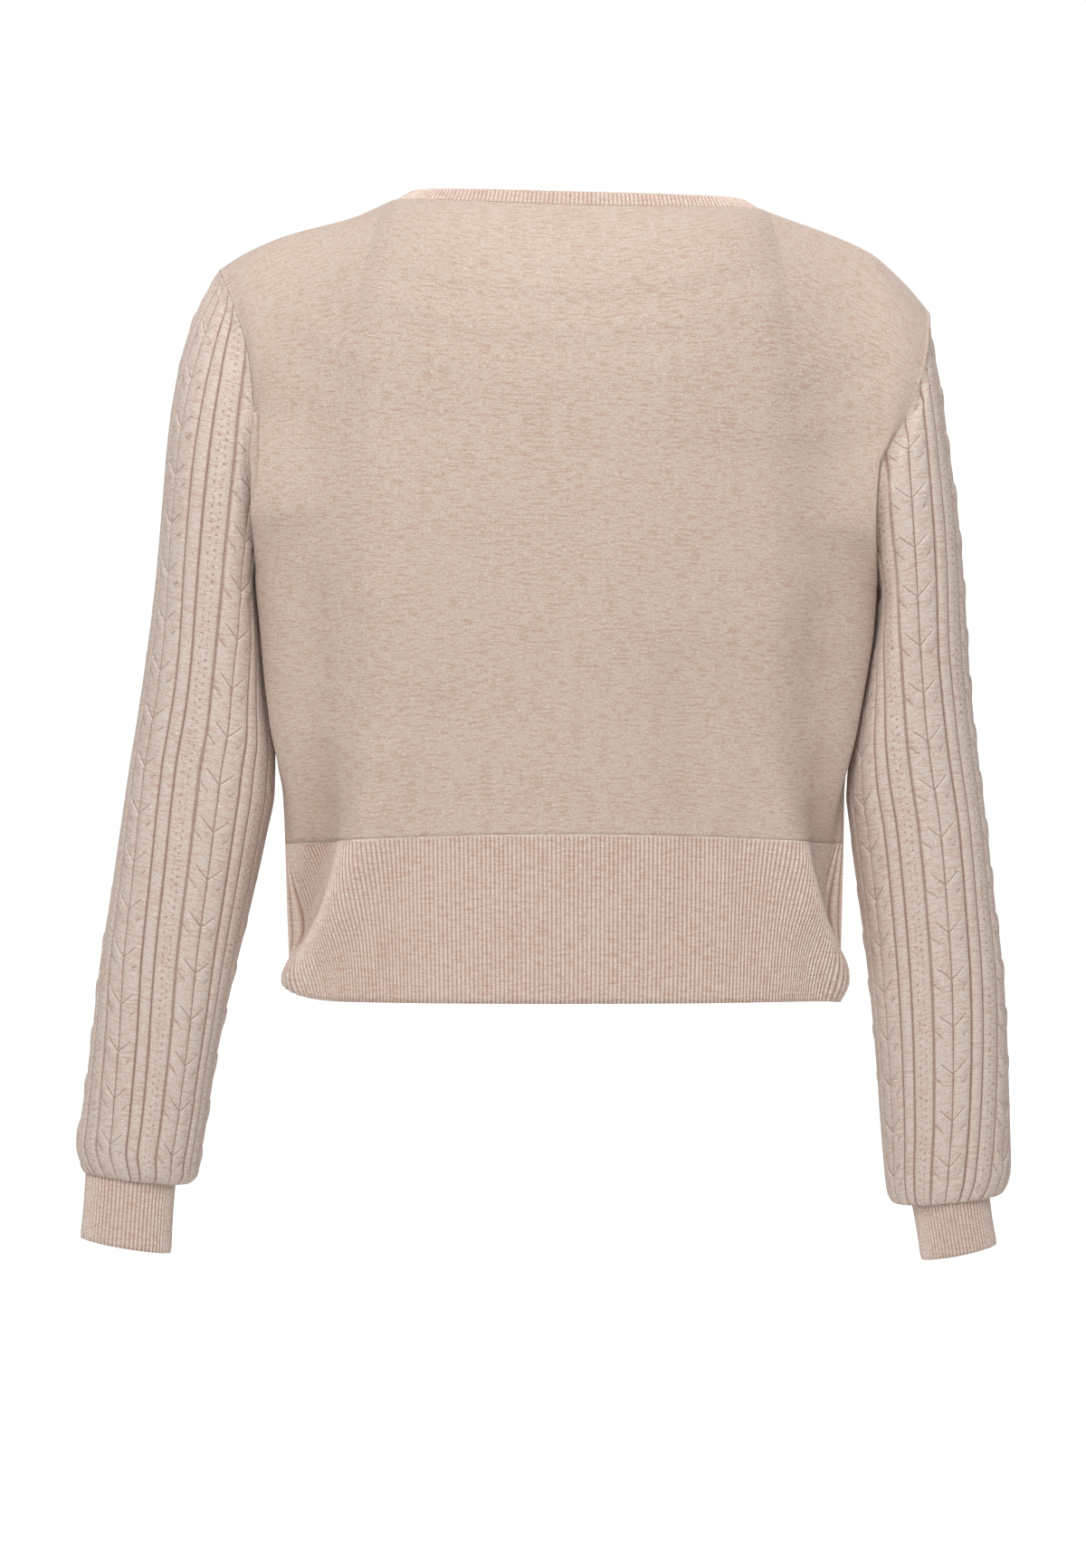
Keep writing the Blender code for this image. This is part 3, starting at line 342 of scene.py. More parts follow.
def cloth_normal(u, t, face):
    """Outward, and square to each seam that the point lies on, so both sides of the seam stay parallel."""
    u, t = np.broadcast_arrays(np.asarray(u, float), np.asarray(t, float))
    e = 1e-3
    t1, t2 = np.maximum(t - e, 0.0), np.minimum(t + e, 3.0)
    t1, t2 = np.where((t1 < 0.5) & (t2 > 0.5), 0.5, t1), np.where((t1 < 0.5) & (t2 > 0.5), 0.5 + e, t2)
    t1, t2 = np.where((t1 < 1) & (t2 > 1), 1 - e, t1), np.where((t1 < 1) & (t2 > 1), 1.0, t2)
    du = cloth(np.minimum(u + e, 1.0), t, face) - cloth(np.maximum(u - e, -1.0), t, face)
    dt = cloth(u, t2, face) - cloth(u, t1, face)
    n = unit(np.cross(du, dt)) * face
    side = np.sign(u)
    at_edge, at_neck = np.abs(u) > 0.999, (t < 0.001) & (np.abs(u) < NECK_COLUMN + 1e-3)
    level = (np.abs(t - 2) < 0.001) | (np.abs(t - 3) < 0.001)
    flat = unit(n * [1.0, 1.0, 0.0])
    n = np.where(level[..., None], flat, n)
    ridge = unit(n * [1.0, 0.0, 1.0])
    n = np.where(((t < 0.001) & ~at_neck)[..., None], ridge * np.sign(ridge[..., 2:]), n)
    n = np.where(at_neck[..., None], collar_frame(np.clip(u, -NECK_COLUMN, NECK_COLUMN), face)[1], n)
    n = np.where((at_edge & (t > 1.001))[..., None], points(side, 0.0, 0.0), n)
    n = np.where((at_edge & (np.abs(t - 1) <= 0.001))[..., None], unit(points(side, 0.0, -1.0)), n)
    for at in (LEFT, RIGHT):
        a = armhole(at, np.pi * np.maximum(t - e, 0), face)
        b = armhole(at, np.pi * np.minimum(t + e, 1), face)
        hole = square_to_hole(a, b, points(0.0, face * np.sin(np.pi * t), np.cos(np.pi * t)))
        hole = np.where((t <= 0.001)[..., None], [0.0, 0.0, 1.0], hole)
        n = np.where((at_edge & (t < 0.999) & (side == at))[..., None], hole, n)
    return n


def crease(x, z, lines):
    """How far the listed folds stand out. Each is its height, half width and its ridge's points."""
    total = np.zeros(np.shape(x))
    for height, wide, path in lines:
        nearest = np.full(np.shape(x), np.inf)
        for (x1, z1), (x2, z2) in zip(path, path[1:]):
            along = ((x - x1) * (x2 - x1) + (z - z1) * (z2 - z1)) / ((x2 - x1) ** 2 + (z2 - z1) ** 2)
            along = np.clip(along, 0.0, 1.0)
            away = (x - mixed(x1, x2, along)) ** 2 + (z - mixed(z1, z2, along)) ** 2
            nearest = np.minimum(nearest, away)
        total += height * np.exp(-nearest / wide**2)
    return total


def knit_shell(name, outer, inner, across, along, painted_hollow_shade=0.0, tube=False):
    """A closed shell of quads from two grids of points in millimetres, rows down the first axis. across and
    along are the places in the cloth, in metres, and the next argument says how strongly painted shade is
    laid on each outer point, 1 at the bottom of a groove; it is kept as a point attribute for the material.
    On a tube the last column is the first one again, with its own place. The rims are flat and crisp. An
    open panel has as many rows inside as outside, since its side rims join the two layers row by row."""
    rows, columns = outer.shape[:2]
    wrap = columns - 1 if tube else columns
    inner_rows = inner.shape[0]
    spots = np.concatenate([outer[:, :wrap].reshape(-1, 3), inner[:, :wrap].reshape(-1, 3)]) * MM
    outer_id = np.arange(rows * wrap).reshape(rows, wrap)
    inner_id = rows * wrap + np.arange(inner_rows * wrap).reshape(inner_rows, wrap)
    outer_id, inner_id = (np.take(ids, np.arange(columns) % wrap, axis=1) for ids in (outer_id, inner_id))
    places = np.stack(np.broadcast_arrays(across, along), -1)
    inner_at = np.round(np.linspace(0, rows - 1, inner_rows)).astype(int)
    faces, corners, rounded = [], [], []

    def strip(ids, spot, smooth=True):
        here, after = slice(0, -1), slice(1, None)
        quad = [(here, here), (after, here), (after, after), (here, after)]
        faces.append(np.stack([ids[cut] for cut in quad], -1).reshape(-1, 4))
        corners.append(np.stack([spot[cut] for cut in quad], -2).reshape(-1, 4, 2))
        rounded.append(np.full(len(faces[-1]), smooth))

    strip(outer_id, places)
    strip(inner_id[:, ::-1], places[inner_at][:, ::-1])
    strip(np.stack([inner_id[0], outer_id[0]]), np.stack([places[0]] * 2), False)
    strip(np.stack([outer_id[-1], inner_id[-1]]), np.stack([places[-1]] * 2), False)
    if not tube:
        strip(np.stack([outer_id[:, 0], inner_id[:, 0]], 1), np.stack([places[:, 0]] * 2, 1), False)
        strip(np.stack([inner_id[:, -1], outer_id[:, -1]], 1), np.stack([places[:, -1]] * 2, 1), False)
    faces, corners = np.concatenate(faces), np.concatenate(corners)
    a, b, c = (spots[faces[:, i]] for i in (0, 1, 2))
    d = spots[faces[:, 3]]
    volume = (np.cross(a, b) * c).sum() + (np.cross(a, c) * d).sum()
    if volume < 0:
        faces, corners = faces[:, ::-1], corners[:, ::-1]
    mesh = bpy.data.meshes.new(name)
    mesh.from_pydata(spots.tolist(), [], faces.tolist())
    layer = mesh.uv_layers.new(name="cloth")
    layer.data.foreach_set("uv", corners.reshape(-1))
    mesh.polygons.foreach_set("use_smooth", np.concatenate(rounded))
    # Painted shade: how strongly the material lays the painted shade colour on each outer point, in grooves
    # and at the bottoms of folds.
    depth = np.zeros(len(spots))
    depth[: rows * wrap] = np.broadcast_to(painted_hollow_shade, (rows, columns))[:, :wrap].reshape(-1)
    mesh.attributes.new("painted_hollow_shade", "FLOAT", "POINT").data.foreach_set("value", depth)
    piece = bpy.data.objects.new(name, mesh)
    scene.collection.objects.link(piece)
    return piece


def run_length(spots):
    """Length run along the last axis but one of a line of points."""
    steps = np.linalg.norm(np.diff(spots, axis=-2), axis=-1)
    return np.concatenate([np.zeros(steps.shape[:-1] + (1,)), np.cumsum(steps, -1)], -1)


class Wire:
    """One number inside a material: sums and the like of wires become Math nodes."""

    def __init__(self, tree, socket):
        self.tree, self.socket = tree, socket

    def math(self, operation, *others):
        node = self.tree.nodes.new("ShaderNodeMath")
        node.operation = operation
        for slot, value in zip(node.inputs, (self, *others)):
            if isinstance(value, Wire):
                self.tree.links.new(value.socket, slot)
            else:
                slot.default_value = value
        return Wire(self.tree, node.outputs[0])

    def __add__(self, other):
        return self.math("ADD", other)

    def __sub__(self, other):
        return self.math("SUBTRACT", other)

    def __mul__(self, other):
        return self.math("MULTIPLY", other)

    def ramp(self, low, high):
        node = self.tree.nodes.new("ShaderNodeMapRange")
        node.interpolation_type = "SMOOTHSTEP"
        tune(node, From_Min=low, From_Max=high)
        self.tree.links.new(self.socket, node.inputs["Value"])
        return Wire(self.tree, node.outputs["Result"])


def speckle(tree, across, along, size, drop, detail=2.0, seed=0.0):
    """Noise from 0 to 1 with patches of this size across and along the cloth, in metres."""
    node = tree.nodes.new("ShaderNodeTexNoise")
    joined = tree.nodes.new("ShaderNodeCombineXYZ")
    tree.links.new((across * (1 / size)).socket, joined.inputs[0])
    tree.links.new((along * (1 / drop)).socket, joined.inputs[1])
    joined.inputs[2].default_value = seed
    tree.links.new(joined.outputs[0], node.inputs["Vector"])
    tune(node, Scale=1.0, Detail=detail, Roughness=0.6)
    return Wire(tree, node.outputs[0])


# The yarn's own colours: cream, rose, brown and white fibres. The white is also the painted highlight's
# colour. The last is the painted shade colour, laid into the hollows, grooves, folds and holes.
YARN_CREAM, YARN_ROSE = (0.70, 0.60, 0.515), (0.60, 0.435, 0.35)
YARN_BROWN, WHITE_FIBRE_AND_HIGHLIGHT, PAINTED_SHADE_COLOUR = (0.44, 0.29, 0.22), (0.86, 0.79, 0.72), (0.29, 0.155, 0.105)


def blend(tree, factor, a, b, kind="MIX"):
    """Mixes two colours, each a constant or what another node gives, by a wire or a number."""
    node = tree.nodes.new("ShaderNodeMix")
    node.data_type, node.blend_type = "RGBA", kind
    if isinstance(factor, Wire):
        tree.links.new(factor.socket, node.inputs["Factor"])
    else:
        node.inputs["Factor"].default_value = factor
    for slot, colour in (("A", a), ("B", b)):
        if isinstance(colour, tuple):
            node.inputs[slot].default_value = (*colour, 1.0)
        else:
            tree.links.new(colour, node.inputs[slot])
    return node.outputs["Result"]


def knit_material(name, wale, course, stitch_depth=0.4, pale=1.0, pattern=None):
    """Melange wool knitted with stitches wale wide and course high, in metres, with painted shade in the
    low parts between stitches and where the mesh's shade attribute asks for it. pale above 1 lightens it as
    painted light, and pattern(across, along) gives the painted shade of its lines and holes, the painted
    highlight on its raised parts and how deep its lines and holes are."""
    made, tree, shader = new_material(name)
    place, split = tree.nodes.new("ShaderNodeUVMap"), tree.nodes.new("ShaderNodeSeparateXYZ")
    place.uv_map = "cloth"
    tree.links.new(place.outputs[0], split.inputs[0])
    across, along = Wire(tree, split.outputs[0]), Wire(tree, split.outputs[1])
    groove = tree.nodes.new("ShaderNodeAttribute")
    groove.attribute_name = "painted_hollow_shade"
    # Streaks of rose yarn, brown and white fibres in it, single stitches' flecks, and a slow drift of tone.
    rose = speckle(tree, across, along, 0.0085, 0.0016, 3.0, 4.0)
    fibre = speckle(tree, across, along, 0.0026, 0.0007, 2.0)
    fleck = speckle(tree, across, along, 0.0009, 0.0008, 0.0, 9.0)
    drift = speckle(tree, across, along, 0.05, 0.03, 2.0, 2.0)
    # Each stitch is two slanting legs: height is the yarn's bulge across a leg and along it.
    stitch = (across * (1 / wale)).math("FRACT")
    leg = (stitch * 2.0 - 1.0).math("ABSOLUTE")
    wave = ((along * (1 / course) + leg * 0.55) * (2 * np.pi)).math("SINE") * 0.5 + 0.5
    bulge = (stitch * (2 * np.pi)).math("SINE").math("ABSOLUTE")
    height = bulge * (wave * 0.6 + 0.4)
    dyed = (rose + (drift - 0.5) * 0.15).ramp(0.45, 0.64)
    yarn = blend(tree, dyed * 0.85 + 0.1, YARN_CREAM, YARN_ROSE)
    yarn = blend(tree, (fibre * 0.7 + fleck * 0.3).ramp(0.54, 0.3) * 0.5, yarn, YARN_BROWN)
    colour = blend(tree, (fibre * 0.55 + fleck * 0.45).ramp(0.52, 0.72) * 0.85, yarn, WHITE_FIBRE_AND_HIGHLIGHT)
    # Painted shade: the low parts between the stitches' legs are coloured darker, standing in for the shade
    # that falls between them.
    colour = blend(tree, (height - 0.5) * -0.35 + 0.1, colour, PAINTED_SHADE_COLOUR)
    # Painted shade in the ribs' grooves and at the bottoms of the deep folds, read from the mesh's point
    # attribute.
    shade = Wire(tree, groove.outputs["Fac"]) * 0.62
    # Painted light: pale above 1 gives a lighter copy of the same yarn, to make up for the shade that falls
    # on the ribs' relief and the sleeves' turned sides.
    if pale != 1.0:
        colour = blend(tree, 1.0, colour, (pale * 0.97, pale, pale * 1.04), "MULTIPLY")
    # The pattern's painted shade darkens its grooves, creases and eyelet holes, and its painted highlight
    # lightens each crossing's raised edge.
    if pattern:
        painted_shade, light, deep = pattern(across, along)
        shade, height = shade.math("MAXIMUM", painted_shade), height - deep
        colour = blend(tree, light, colour, WHITE_FIBRE_AND_HIGHLIGHT)
    tree.links.new(blend(tree, shade, colour, PAINTED_SHADE_COLOUR), shader.inputs["Base Color"])
    bump = tree.nodes.new("ShaderNodeBump")
    tune(bump, Strength=stitch_depth, Distance=0.0005)
    tree.links.new((height + fleck * 0.6).socket, bump.inputs["Height"])
    tree.links.new(bump.outputs[0], shader.inputs["Normal"])
    tune(shader, Roughness=0.92, Specular_IOR_Level=0.25)
    tune(shader, Sheen_Weight=0.22, Sheen_Roughness=0.45, Sheen_Tint=(1.0, 0.93, 0.87, 1.0))
    return made


jersey = knit_material("jersey", 0.0017, 0.0012)

# Where the folds over the left and right ends of the welt run out, and the dents beside them.
LEFT_FOLD, RIGHT_FOLD = [(140, -432), (166, -476)], [(-147, -434), (-165, -478)]
LEFT_DENT, RIGHT_DENT = [(166, -432), (174, -448)], [(-167, -434), (-173, -450)]
# height, half width, ridge: placed from the back of the real one
BACK_CREASES = [
    (1.4, 16, [(118, -60), (122, -160), (116, -240)]),
    (2.4, 17, [(116, -250), (112, -330), (122, -390), (134, -430)]),
    (2.5, 13, [(117, -345), (124, -388), *LEFT_FOLD]),
    (2.8, 12, [(122, -378), *LEFT_FOLD]),
    (2.8, 11, [(130, -405), *LEFT_FOLD]),
    (1.4, 16, [(-118, -70), (-126, -170), (-124, -250)]),
    (2.4, 17, [(-122, -260), (-118, -345), (-128, -390), (-140, -430)]),
    (2.2, 13, [(-124, -355), (-133, -390), *RIGHT_FOLD]),
    (2.5, 12, [(-130, -378), *RIGHT_FOLD]),
    (2.5, 11, [(-137, -405), *RIGHT_FOLD]),
    (-2.6, 15, [(156, -240), (152, -310), (154, -390), (166, -430)]),
    (-3.0, 15, [(152, -345), (153, -392), *LEFT_DENT]),
    (-3.5, 13, [(153, -375), (158, -410), *LEFT_DENT]),
    (-3.0, 12, [(156, -400), *LEFT_DENT]),
    (-2.6, 15, [(-152, -250), (-150, -320), (-154, -392), (-162, -430)]),
    (-2.8, 14, [(-153, -350), (-157, -396), *RIGHT_DENT]),
    (-3.0, 13, [(-155, -378), (-160, -410), *RIGHT_DENT]),
    (-2.6, 12, [(-159, -402), *RIGHT_DENT]),
    (-1.4, 10, [(78, -310), (92, -350), (102, -400), (112, -450), (118, -489)]),
    (-1.1, 10, [(-98, -380), (-106, -440), (-118, -489)]),
    (-1.4, 13, [(-66, -290), (-70, -340), (-72, -400), (-64, -440)]),
    (1.1, 17, [(-28, -220), (-6, -290), (8, -350), (14, -440), (12, -489)]),
    (-0.6, 10, [(40, -200), (52, -250), (58, -300)]),
    (0.45, 5, [(110, -40), (70, -54), (10, -60), (-50, -56), (-100, -44)]),
    (-0.45, 5, [(105, -52), (60, -66), (0, -71), (-55, -67), (-105, -54)]),
    (0.4, 5, [(120, -62), (75, -80), (5, -87), (-60, -82), (-112, -66)]),
    (-0.4, 6, [(100, -84), (50, -96), (-10, -99), (-66, -92)]),
    (0.35, 6, [(90, -100), (35, -112), (-25, -114), (-80, -104)]),
    (0.5, 7, [(176, -60), (150, -86), (118, -104)]),
    (-0.5, 7, [(182, -80), (160, -104), (130, -122)]),
    (0.5, 7, [(-180, -84), (-150, -102), (-120, -116)]),
    (-0.5, 7, [(-184, -104), (-158, -122), (-126, -134)]),
    (0.4, 4, [(178, -250), (158, -262), (138, -268)]),
    (0.4, 4, [(180, -284), (160, -294), (140, -300)]),
    (0.35, 4, [(178, -318), (160, -326), (142, -330)]),
    (0.4, 4, [(-176, -236), (-150, -244), (-122, -246)]),
    (0.4, 4, [(-176, -262), (-150, -272), (-124, -276)]),
    (0.35, 4, [(-172, -292), (-150, -302), (-128, -306)]),
]
CREASE_FADE, CREASE_TOP_FADE = 0.08, 0.1  # in half widths beside a side seam, and in rows below the top


def spread(*runs):
    """Evenly spaced places, run by run. The first value is where they start, and each run is its end and
    how many places it adds."""
    spots = [np.array([float(runs[0])])]
    for end, count in runs[1:]:
        spots.append(np.linspace(spots[-1][-1], end, count + 1)[1:])
    return np.concatenate(spots)


BODY_ROWS = spread(0, (0.5, 45), (1, 33), (2, 61))
BACK_COLUMNS = spread(1, (0.5, 45), (-0.5, 65), (-1, 45))


def fold_shade(out):
    """Painted shade: the bottoms of the deep folds are coloured a little darker, for the shade that falls
    there.
    """
    return 0.4 * ease(-out / 8.0)


def plain_panel(name, face, u, t, creases, sunk=0.0):
    """A panel of plain knit on the body's surface. The creases fade out at its seams."""
    p, n = cloth(u, t, face), cloth_normal(u, t, face)
    free = ease((1 - np.abs(u)) / CREASE_FADE) * ease(t / CREASE_TOP_FADE)
    out = crease(p[..., 0], p[..., 2], creases) * free
    outer = p + n * (out - sunk)[..., None]
    middle_row = np.argmin(np.abs(t[:, 0] - 1.0))
    across = run_length(cloth(u[middle_row], np.ones(u.shape[1]), face))
    along = run_length(cloth(u[:, u.shape[1] // 2], t[:, u.shape[1] // 2], face))
    inner = outer - n * JERSEY_WALL
    # Painted shade at the bottoms of the deep folds.
    return knit_shell(name, outer, inner, across * MM, along[:, None] * MM, fold_shade(out))


def dress(piece, node, material):
    """Every knitted piece is a sheet held up by the wearer's shoulders, and stands for its plain solid."""
    piece.data.materials.append(material)
    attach(piece, "root")
    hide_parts(node)


u, t = np.meshgrid(BACK_COLUMNS, BODY_ROWS)
back = plain_panel("back_knit", BACK, u, t, BACK_CREASES)
dress(back, "back", jersey)

# ---------------------------------------------------------------- fronts
# Two panels of the same jersey, shaped at the neck. The left one passes under the right one's band, so it
# lies a wall deeper towards the middle.

BAND_HALF = 14.0
FRONT_CREASES = [
    (1.5, 15, [(112, -80), (118, -180), (112, -280), (118, -390)]),
    (3.2, 14, [(112, -350), (122, -395), (138, -436), (158, -474)]),
    (1.5, 15, [(-112, -90), (-120, -190), (-112, -285), (-120, -390)]),
    (3.4, 14, [(-114, -345), (-122, -395), (-140, -438), (-160, -478)]),
    (-2.2, 14, [(150, -250), (148, -310), (150, -390), (162, -430)]),
    (-2.4, 14, [(-148, -255), (-150, -318), (-152, -392), (-160, -430)]),
    (-1.2, 11, [(62, -280), (56, -330), (60, -400), (70, -470)]),
    (-1.2, 11, [(-60, -270), (-64, -325), (-62, -400), (-72, -470)]),
    (0.5, 7, [(178, -70), (150, -96), (116, -112)]),
    (-0.5, 7, [(184, -92), (160, -114), (128, -130)]),
    (0.5, 7, [(-182, -92), (-152, -108), (-118, -122)]),
    (-0.5, 7, [(-184, -112), (-158, -130), (-128, -142)]),
    (0.4, 5, [(174, -256), (146, -268), (110, -270)]),
    (0.4, 5, [(-172, -252), (-144, -264), (-108, -268)]),
    (0.5, 6, [(70, -130), (46, -138), (24, -140)]),
    (0.5, 6, [(-70, -134), (-46, -142), (-24, -144)]),
]


def wale_at(x_off, t):
    """The u of the place x_off from the middle line, in each row of the front."""
    many = np.linspace(-0.6, 0.6, 601)
    found = []
    for row in np.atleast_1d(t):
        x = cloth(many, np.full_like(many, row), FRONT)[:, 0]
        found.append(np.interp(x[len(many) // 2] + x_off, x, many))
    return np.array(found)


def beside_band(side, t):
    """The u of a front's own edge, where it is linked to the band, in each row."""
    return wale_at(side * (BAND_HALF + SEAM_GAP), t)


UNDER_BAND, UNDER_SLOPE = 0.04, 0.3  # in half widths: sunk all the way, and the slope beside it


def beneath(u):
    """How far the left front sinks towards the middle, to pass under the right one's band."""
    return (JERSEY_WALL + SEAM_GAP) * ease(1 - (np.abs(u) - UNDER_BAND) / UNDER_SLOPE)


for side, node in ((LEFT, "front_left"), (RIGHT, "front_right")):
    start = beside_band(side, BODY_ROWS)[:, None]
    inside = mixed(start, side * NECK_COLUMN, np.linspace(0, 1, 34)[None, :-1])
    outside = np.broadcast_to(side * np.linspace(NECK_COLUMN, 1, 46), (len(BODY_ROWS), 46))
    u = np.concatenate([inside, outside], 1)
    t = np.broadcast_to(BODY_ROWS[:, None], u.shape)
    sunk = beneath(u) if side == LEFT else 0.0
    panel = plain_panel(node + "_knit", FRONT, u, t, FRONT_CREASES, sunk)
    dress(panel, node, jersey)

# ---------------------------------------------------------------- welt
# A deep 1x1 rib, knitted in one with each panel and narrower than it, so it draws the body in. Each rib is
# a rounded ridge one stitch wide, and the side ribs lean inwards over deep soft folds.

RIB_PITCH = 2.65
RIB_WALL, RIB_CUT = 2.2, 1.25
PURL_SHARE = 0.3  # how far the purl ribs stand out inside, in shares of the cut outside
SEAM_SLIT = 0.06  # between the welt and its panel, which are one knit
SAMPLES_A_RIB = 6
# Painted light: a lighter copy of the yarn for the ribs.
rib_knit = knit_material("rib", RIB_PITCH * MM, 0.0013, 0.3, 1.28)


def valley(place):
    """Depth of a 1x1 rib's surface, from 0 on a rib to 1 in the valley beside it; place counts ribs."""
    return (0.5 - 0.5 * np.cos(2 * np.pi * place)) ** 0.75


def rib_inside(place):
    """How far the inside of a rib lies below its top."""
    return RIB_WALL - PURL_SHARE * RIB_CUT * valley(place + 0.5)


def rib_places(length):
    """Places across a strip of ribs, counted in ribs, at even steps."""
    ribs = round(length / RIB_PITCH)
    return np.linspace(0, ribs, ribs * SAMPLES_A_RIB + 1)


# distance from the centre and how far a rib there has drifted inwards by the hem, in half widths
RIB_DRIFT = [(0.0, 0.0), (0.3, 0.0), (0.5, 0.02), (0.65, 0.055)]
RIB_DRIFT += [(0.78, 0.105), (0.88, 0.12), (0.95, 0.06), (1.0, 0.0)]
rib_drift = through(RIB_DRIFT)
RIB_START = 0.02  # of the welt's height, in which the ribs rise from the seam


def welt(name, face, start, end, creases, sunk=None):
    """Ribs on the body's surface, rows 2 to 3, between the u that start() and end() give for the rows."""
    rows = np.concatenate([[2.0, 2.01, 2.02], np.linspace(2, 3, 26)[1:]])
    coarse = np.linspace(0, 1, 400)
    u = mixed(start(np.array([2.5])), end(np.array([2.5])), coarse)
    run = run_length(cloth(u, np.full_like(u, 2.5), face))
    place = rib_places(run[-1])
    share = np.interp(place / place[-1] * run[-1], run, coarse)
    u = mixed(start(rows)[:, None], end(rows)[:, None], share[None, :])
    t = np.broadcast_to(rows[:, None], u.shape)
    u = u - np.sign(u) * rib_drift(np.abs(u)) * np.sin(np.pi / 2 * (t - 2))
    p, n = cloth(u, t, face), cloth_normal(u, t, face)
    free = ease((1 - np.abs(u)) / CREASE_FADE)
    folds = crease(p[..., 0], p[..., 2], creases) * free
    out = folds - (sunk(u) if sunk else 0.0)
    p = p + n * out[..., None]
    p[0, :, 2] -= SEAM_SLIT
    cut = RIB_CUT * valley(place)[None, :, None] * ease((t[..., None] - 2) / RIB_START)
    inside = rib_inside(place)[None, :, None]
    along = run_length(p[:, p.shape[1] // 2])
    across = place[None, :] * RIB_PITCH * MM
    # Painted shade in the ribs' valleys and at the bottoms of the folds.
    painted_hollow_shade = (cut[..., 0] / RIB_CUT) ** 3 + fold_shade(folds)
    return knit_shell(name, p - n * cut, p - n * inside, across, along[:, None] * MM, painted_hollow_shade)


def ends(value):
    return lambda t: np.full(np.shape(t), value)


def band_side(side):
    return lambda t: beside_band(side, t)


welt_back = welt("welt_back_knit", BACK, ends(1.0), ends(-1.0), BACK_CREASES)
dress(welt_back, "welt_back", rib_knit)
welt_left = welt("welt_front_left_knit", FRONT, ends(1.0), band_side(LEFT), FRONT_CREASES, beneath)
dress(welt_left, "welt_front_left", rib_knit)
welt_right = welt("welt_front_right_knit", FRONT, ends(-1.0), band_side(RIGHT), FRONT_CREASES)
dress(welt_right, "welt_front_right", rib_knit)

# ---------------------------------------------------------------- neckband
# A narrow rib strip, picked up round the neckline from band to band and held in a little, so that it lies
# close to the neck.

NECKBAND_HEIGHT = 11.0
RIM_FROM, RIM_ROUND = 9.6, 0.5  # the height from which its outside rounds in, and by how much at the rim
end_left, end_right = (beside_band(side, [0.0])[0] for side in (LEFT, RIGHT))
turns = [(mixed(end_left, NECK_COLUMN, np.linspace(0, 1, 200)), FRONT)]
turns.append((np.linspace(NECK_COLUMN, -NECK_COLUMN, 400), BACK))
turns.append((mixed(-NECK_COLUMN, end_right, np.linspace(0, 1, 200)), FRONT))
seam = np.concatenate([cloth(u, np.zeros_like(u), face) for u, face in turns])
up, out = (np.concatenate(ways) for ways in zip(*(collar_frame(u, face) for u, face in turns)))
run = run_length(seam)
place = rib_places(run[-1])


def at_rib(values):
    return np.stack([np.interp(place / place[-1] * run[-1], run, values[:, i]) for i in range(3)], -1)


seam, out, up = at_rib(seam), unit(at_rib(out)), at_rib(up)
up = unit(up - out * (up * out).sum(-1, keepdims=True))
heights = np.array([SEAM_GAP, 1.5, 4.0, 7.0, RIM_FROM, 10.6, NECKBAND_HEIGHT])[:, None]
ribbed = RIB_CUT * valley(place)[None, :]
tucked = RIM_ROUND * ease((heights - RIM_FROM) / (NECKBAND_HEIGHT - RIM_FROM))
outer = seam + up * heights[..., None] - out * (ribbed + tucked)[..., None]
inside = rib_inside(place)[None, :] - tucked
inner = seam + up * heights[..., None] - out * inside[..., None]
across = place[None, :] * RIB_PITCH * MM
# Painted shade in the ribs' valleys.
neckband = knit_shell("neckband_knit", outer, inner, across, heights * MM, valley(place)[None, :] ** 3)
dress(neckband, "neckband", rib_knit)

# ---------------------------------------------------------------- button bands
# Two strips of close plain knit down the front edges, from the top of the neckband to the hem. The right
# one lies on top, as the fastening is done up, and the left one beneath it.

band_knit = knit_material("band_knit", 0.0015, 0.0011, 0.4)
band_rows = np.concatenate([BODY_ROWS, np.linspace(2, 3, 24)[1:]])
strip_off = np.linspace(-BAND_HALF, BAND_HALF, 15)


def band(name, sunk):
    """A strip down the middle of the front, sunk below the body's outer surface."""
    top_u = np.array([wale_at(x, [0.0])[0] for x in strip_off])
    up, out = collar_frame(top_u, FRONT)
    start = cloth(top_u, np.zeros_like(top_u), FRONT)
    rise = np.linspace(NECKBAND_HEIGHT, 0, 6)[:-1, None, None]
    above = start + up * rise - out * sunk
    u = np.stack([wale_at(x, band_rows) for x in strip_off], 1)
    t = np.broadcast_to(band_rows[:, None], u.shape)
    p, n = cloth(u, t, FRONT), cloth_normal(u, t, FRONT)
    outer = np.concatenate([above, p - n * sunk])
    n = np.concatenate([np.broadcast_to(out, above.shape), n])
    along = run_length(outer[:, len(strip_off) // 2])[:, None]
    across = (strip_off + BAND_HALF)[None, :]
    return knit_shell(name, outer, outer - n * JERSEY_WALL, across * MM, along * MM)


over = band("band_right_knit", 0.0)
under = band("band_left_knit", JERSEY_WALL + SEAM_GAP)
dress(over, "band_right", band_knit)
dress(under, "band_left", band_knit)

# ---------------------------------------------------------------- sleeves
# Each is one tube knitted in six repeats of a wheat-ear cable, a plain rib and a rib of eyelets, full above
# the cuff where it is gathered in. The relief is raised on a plain inside, and is low at the armhole seam.

ARMHOLE_GAP = 0.2
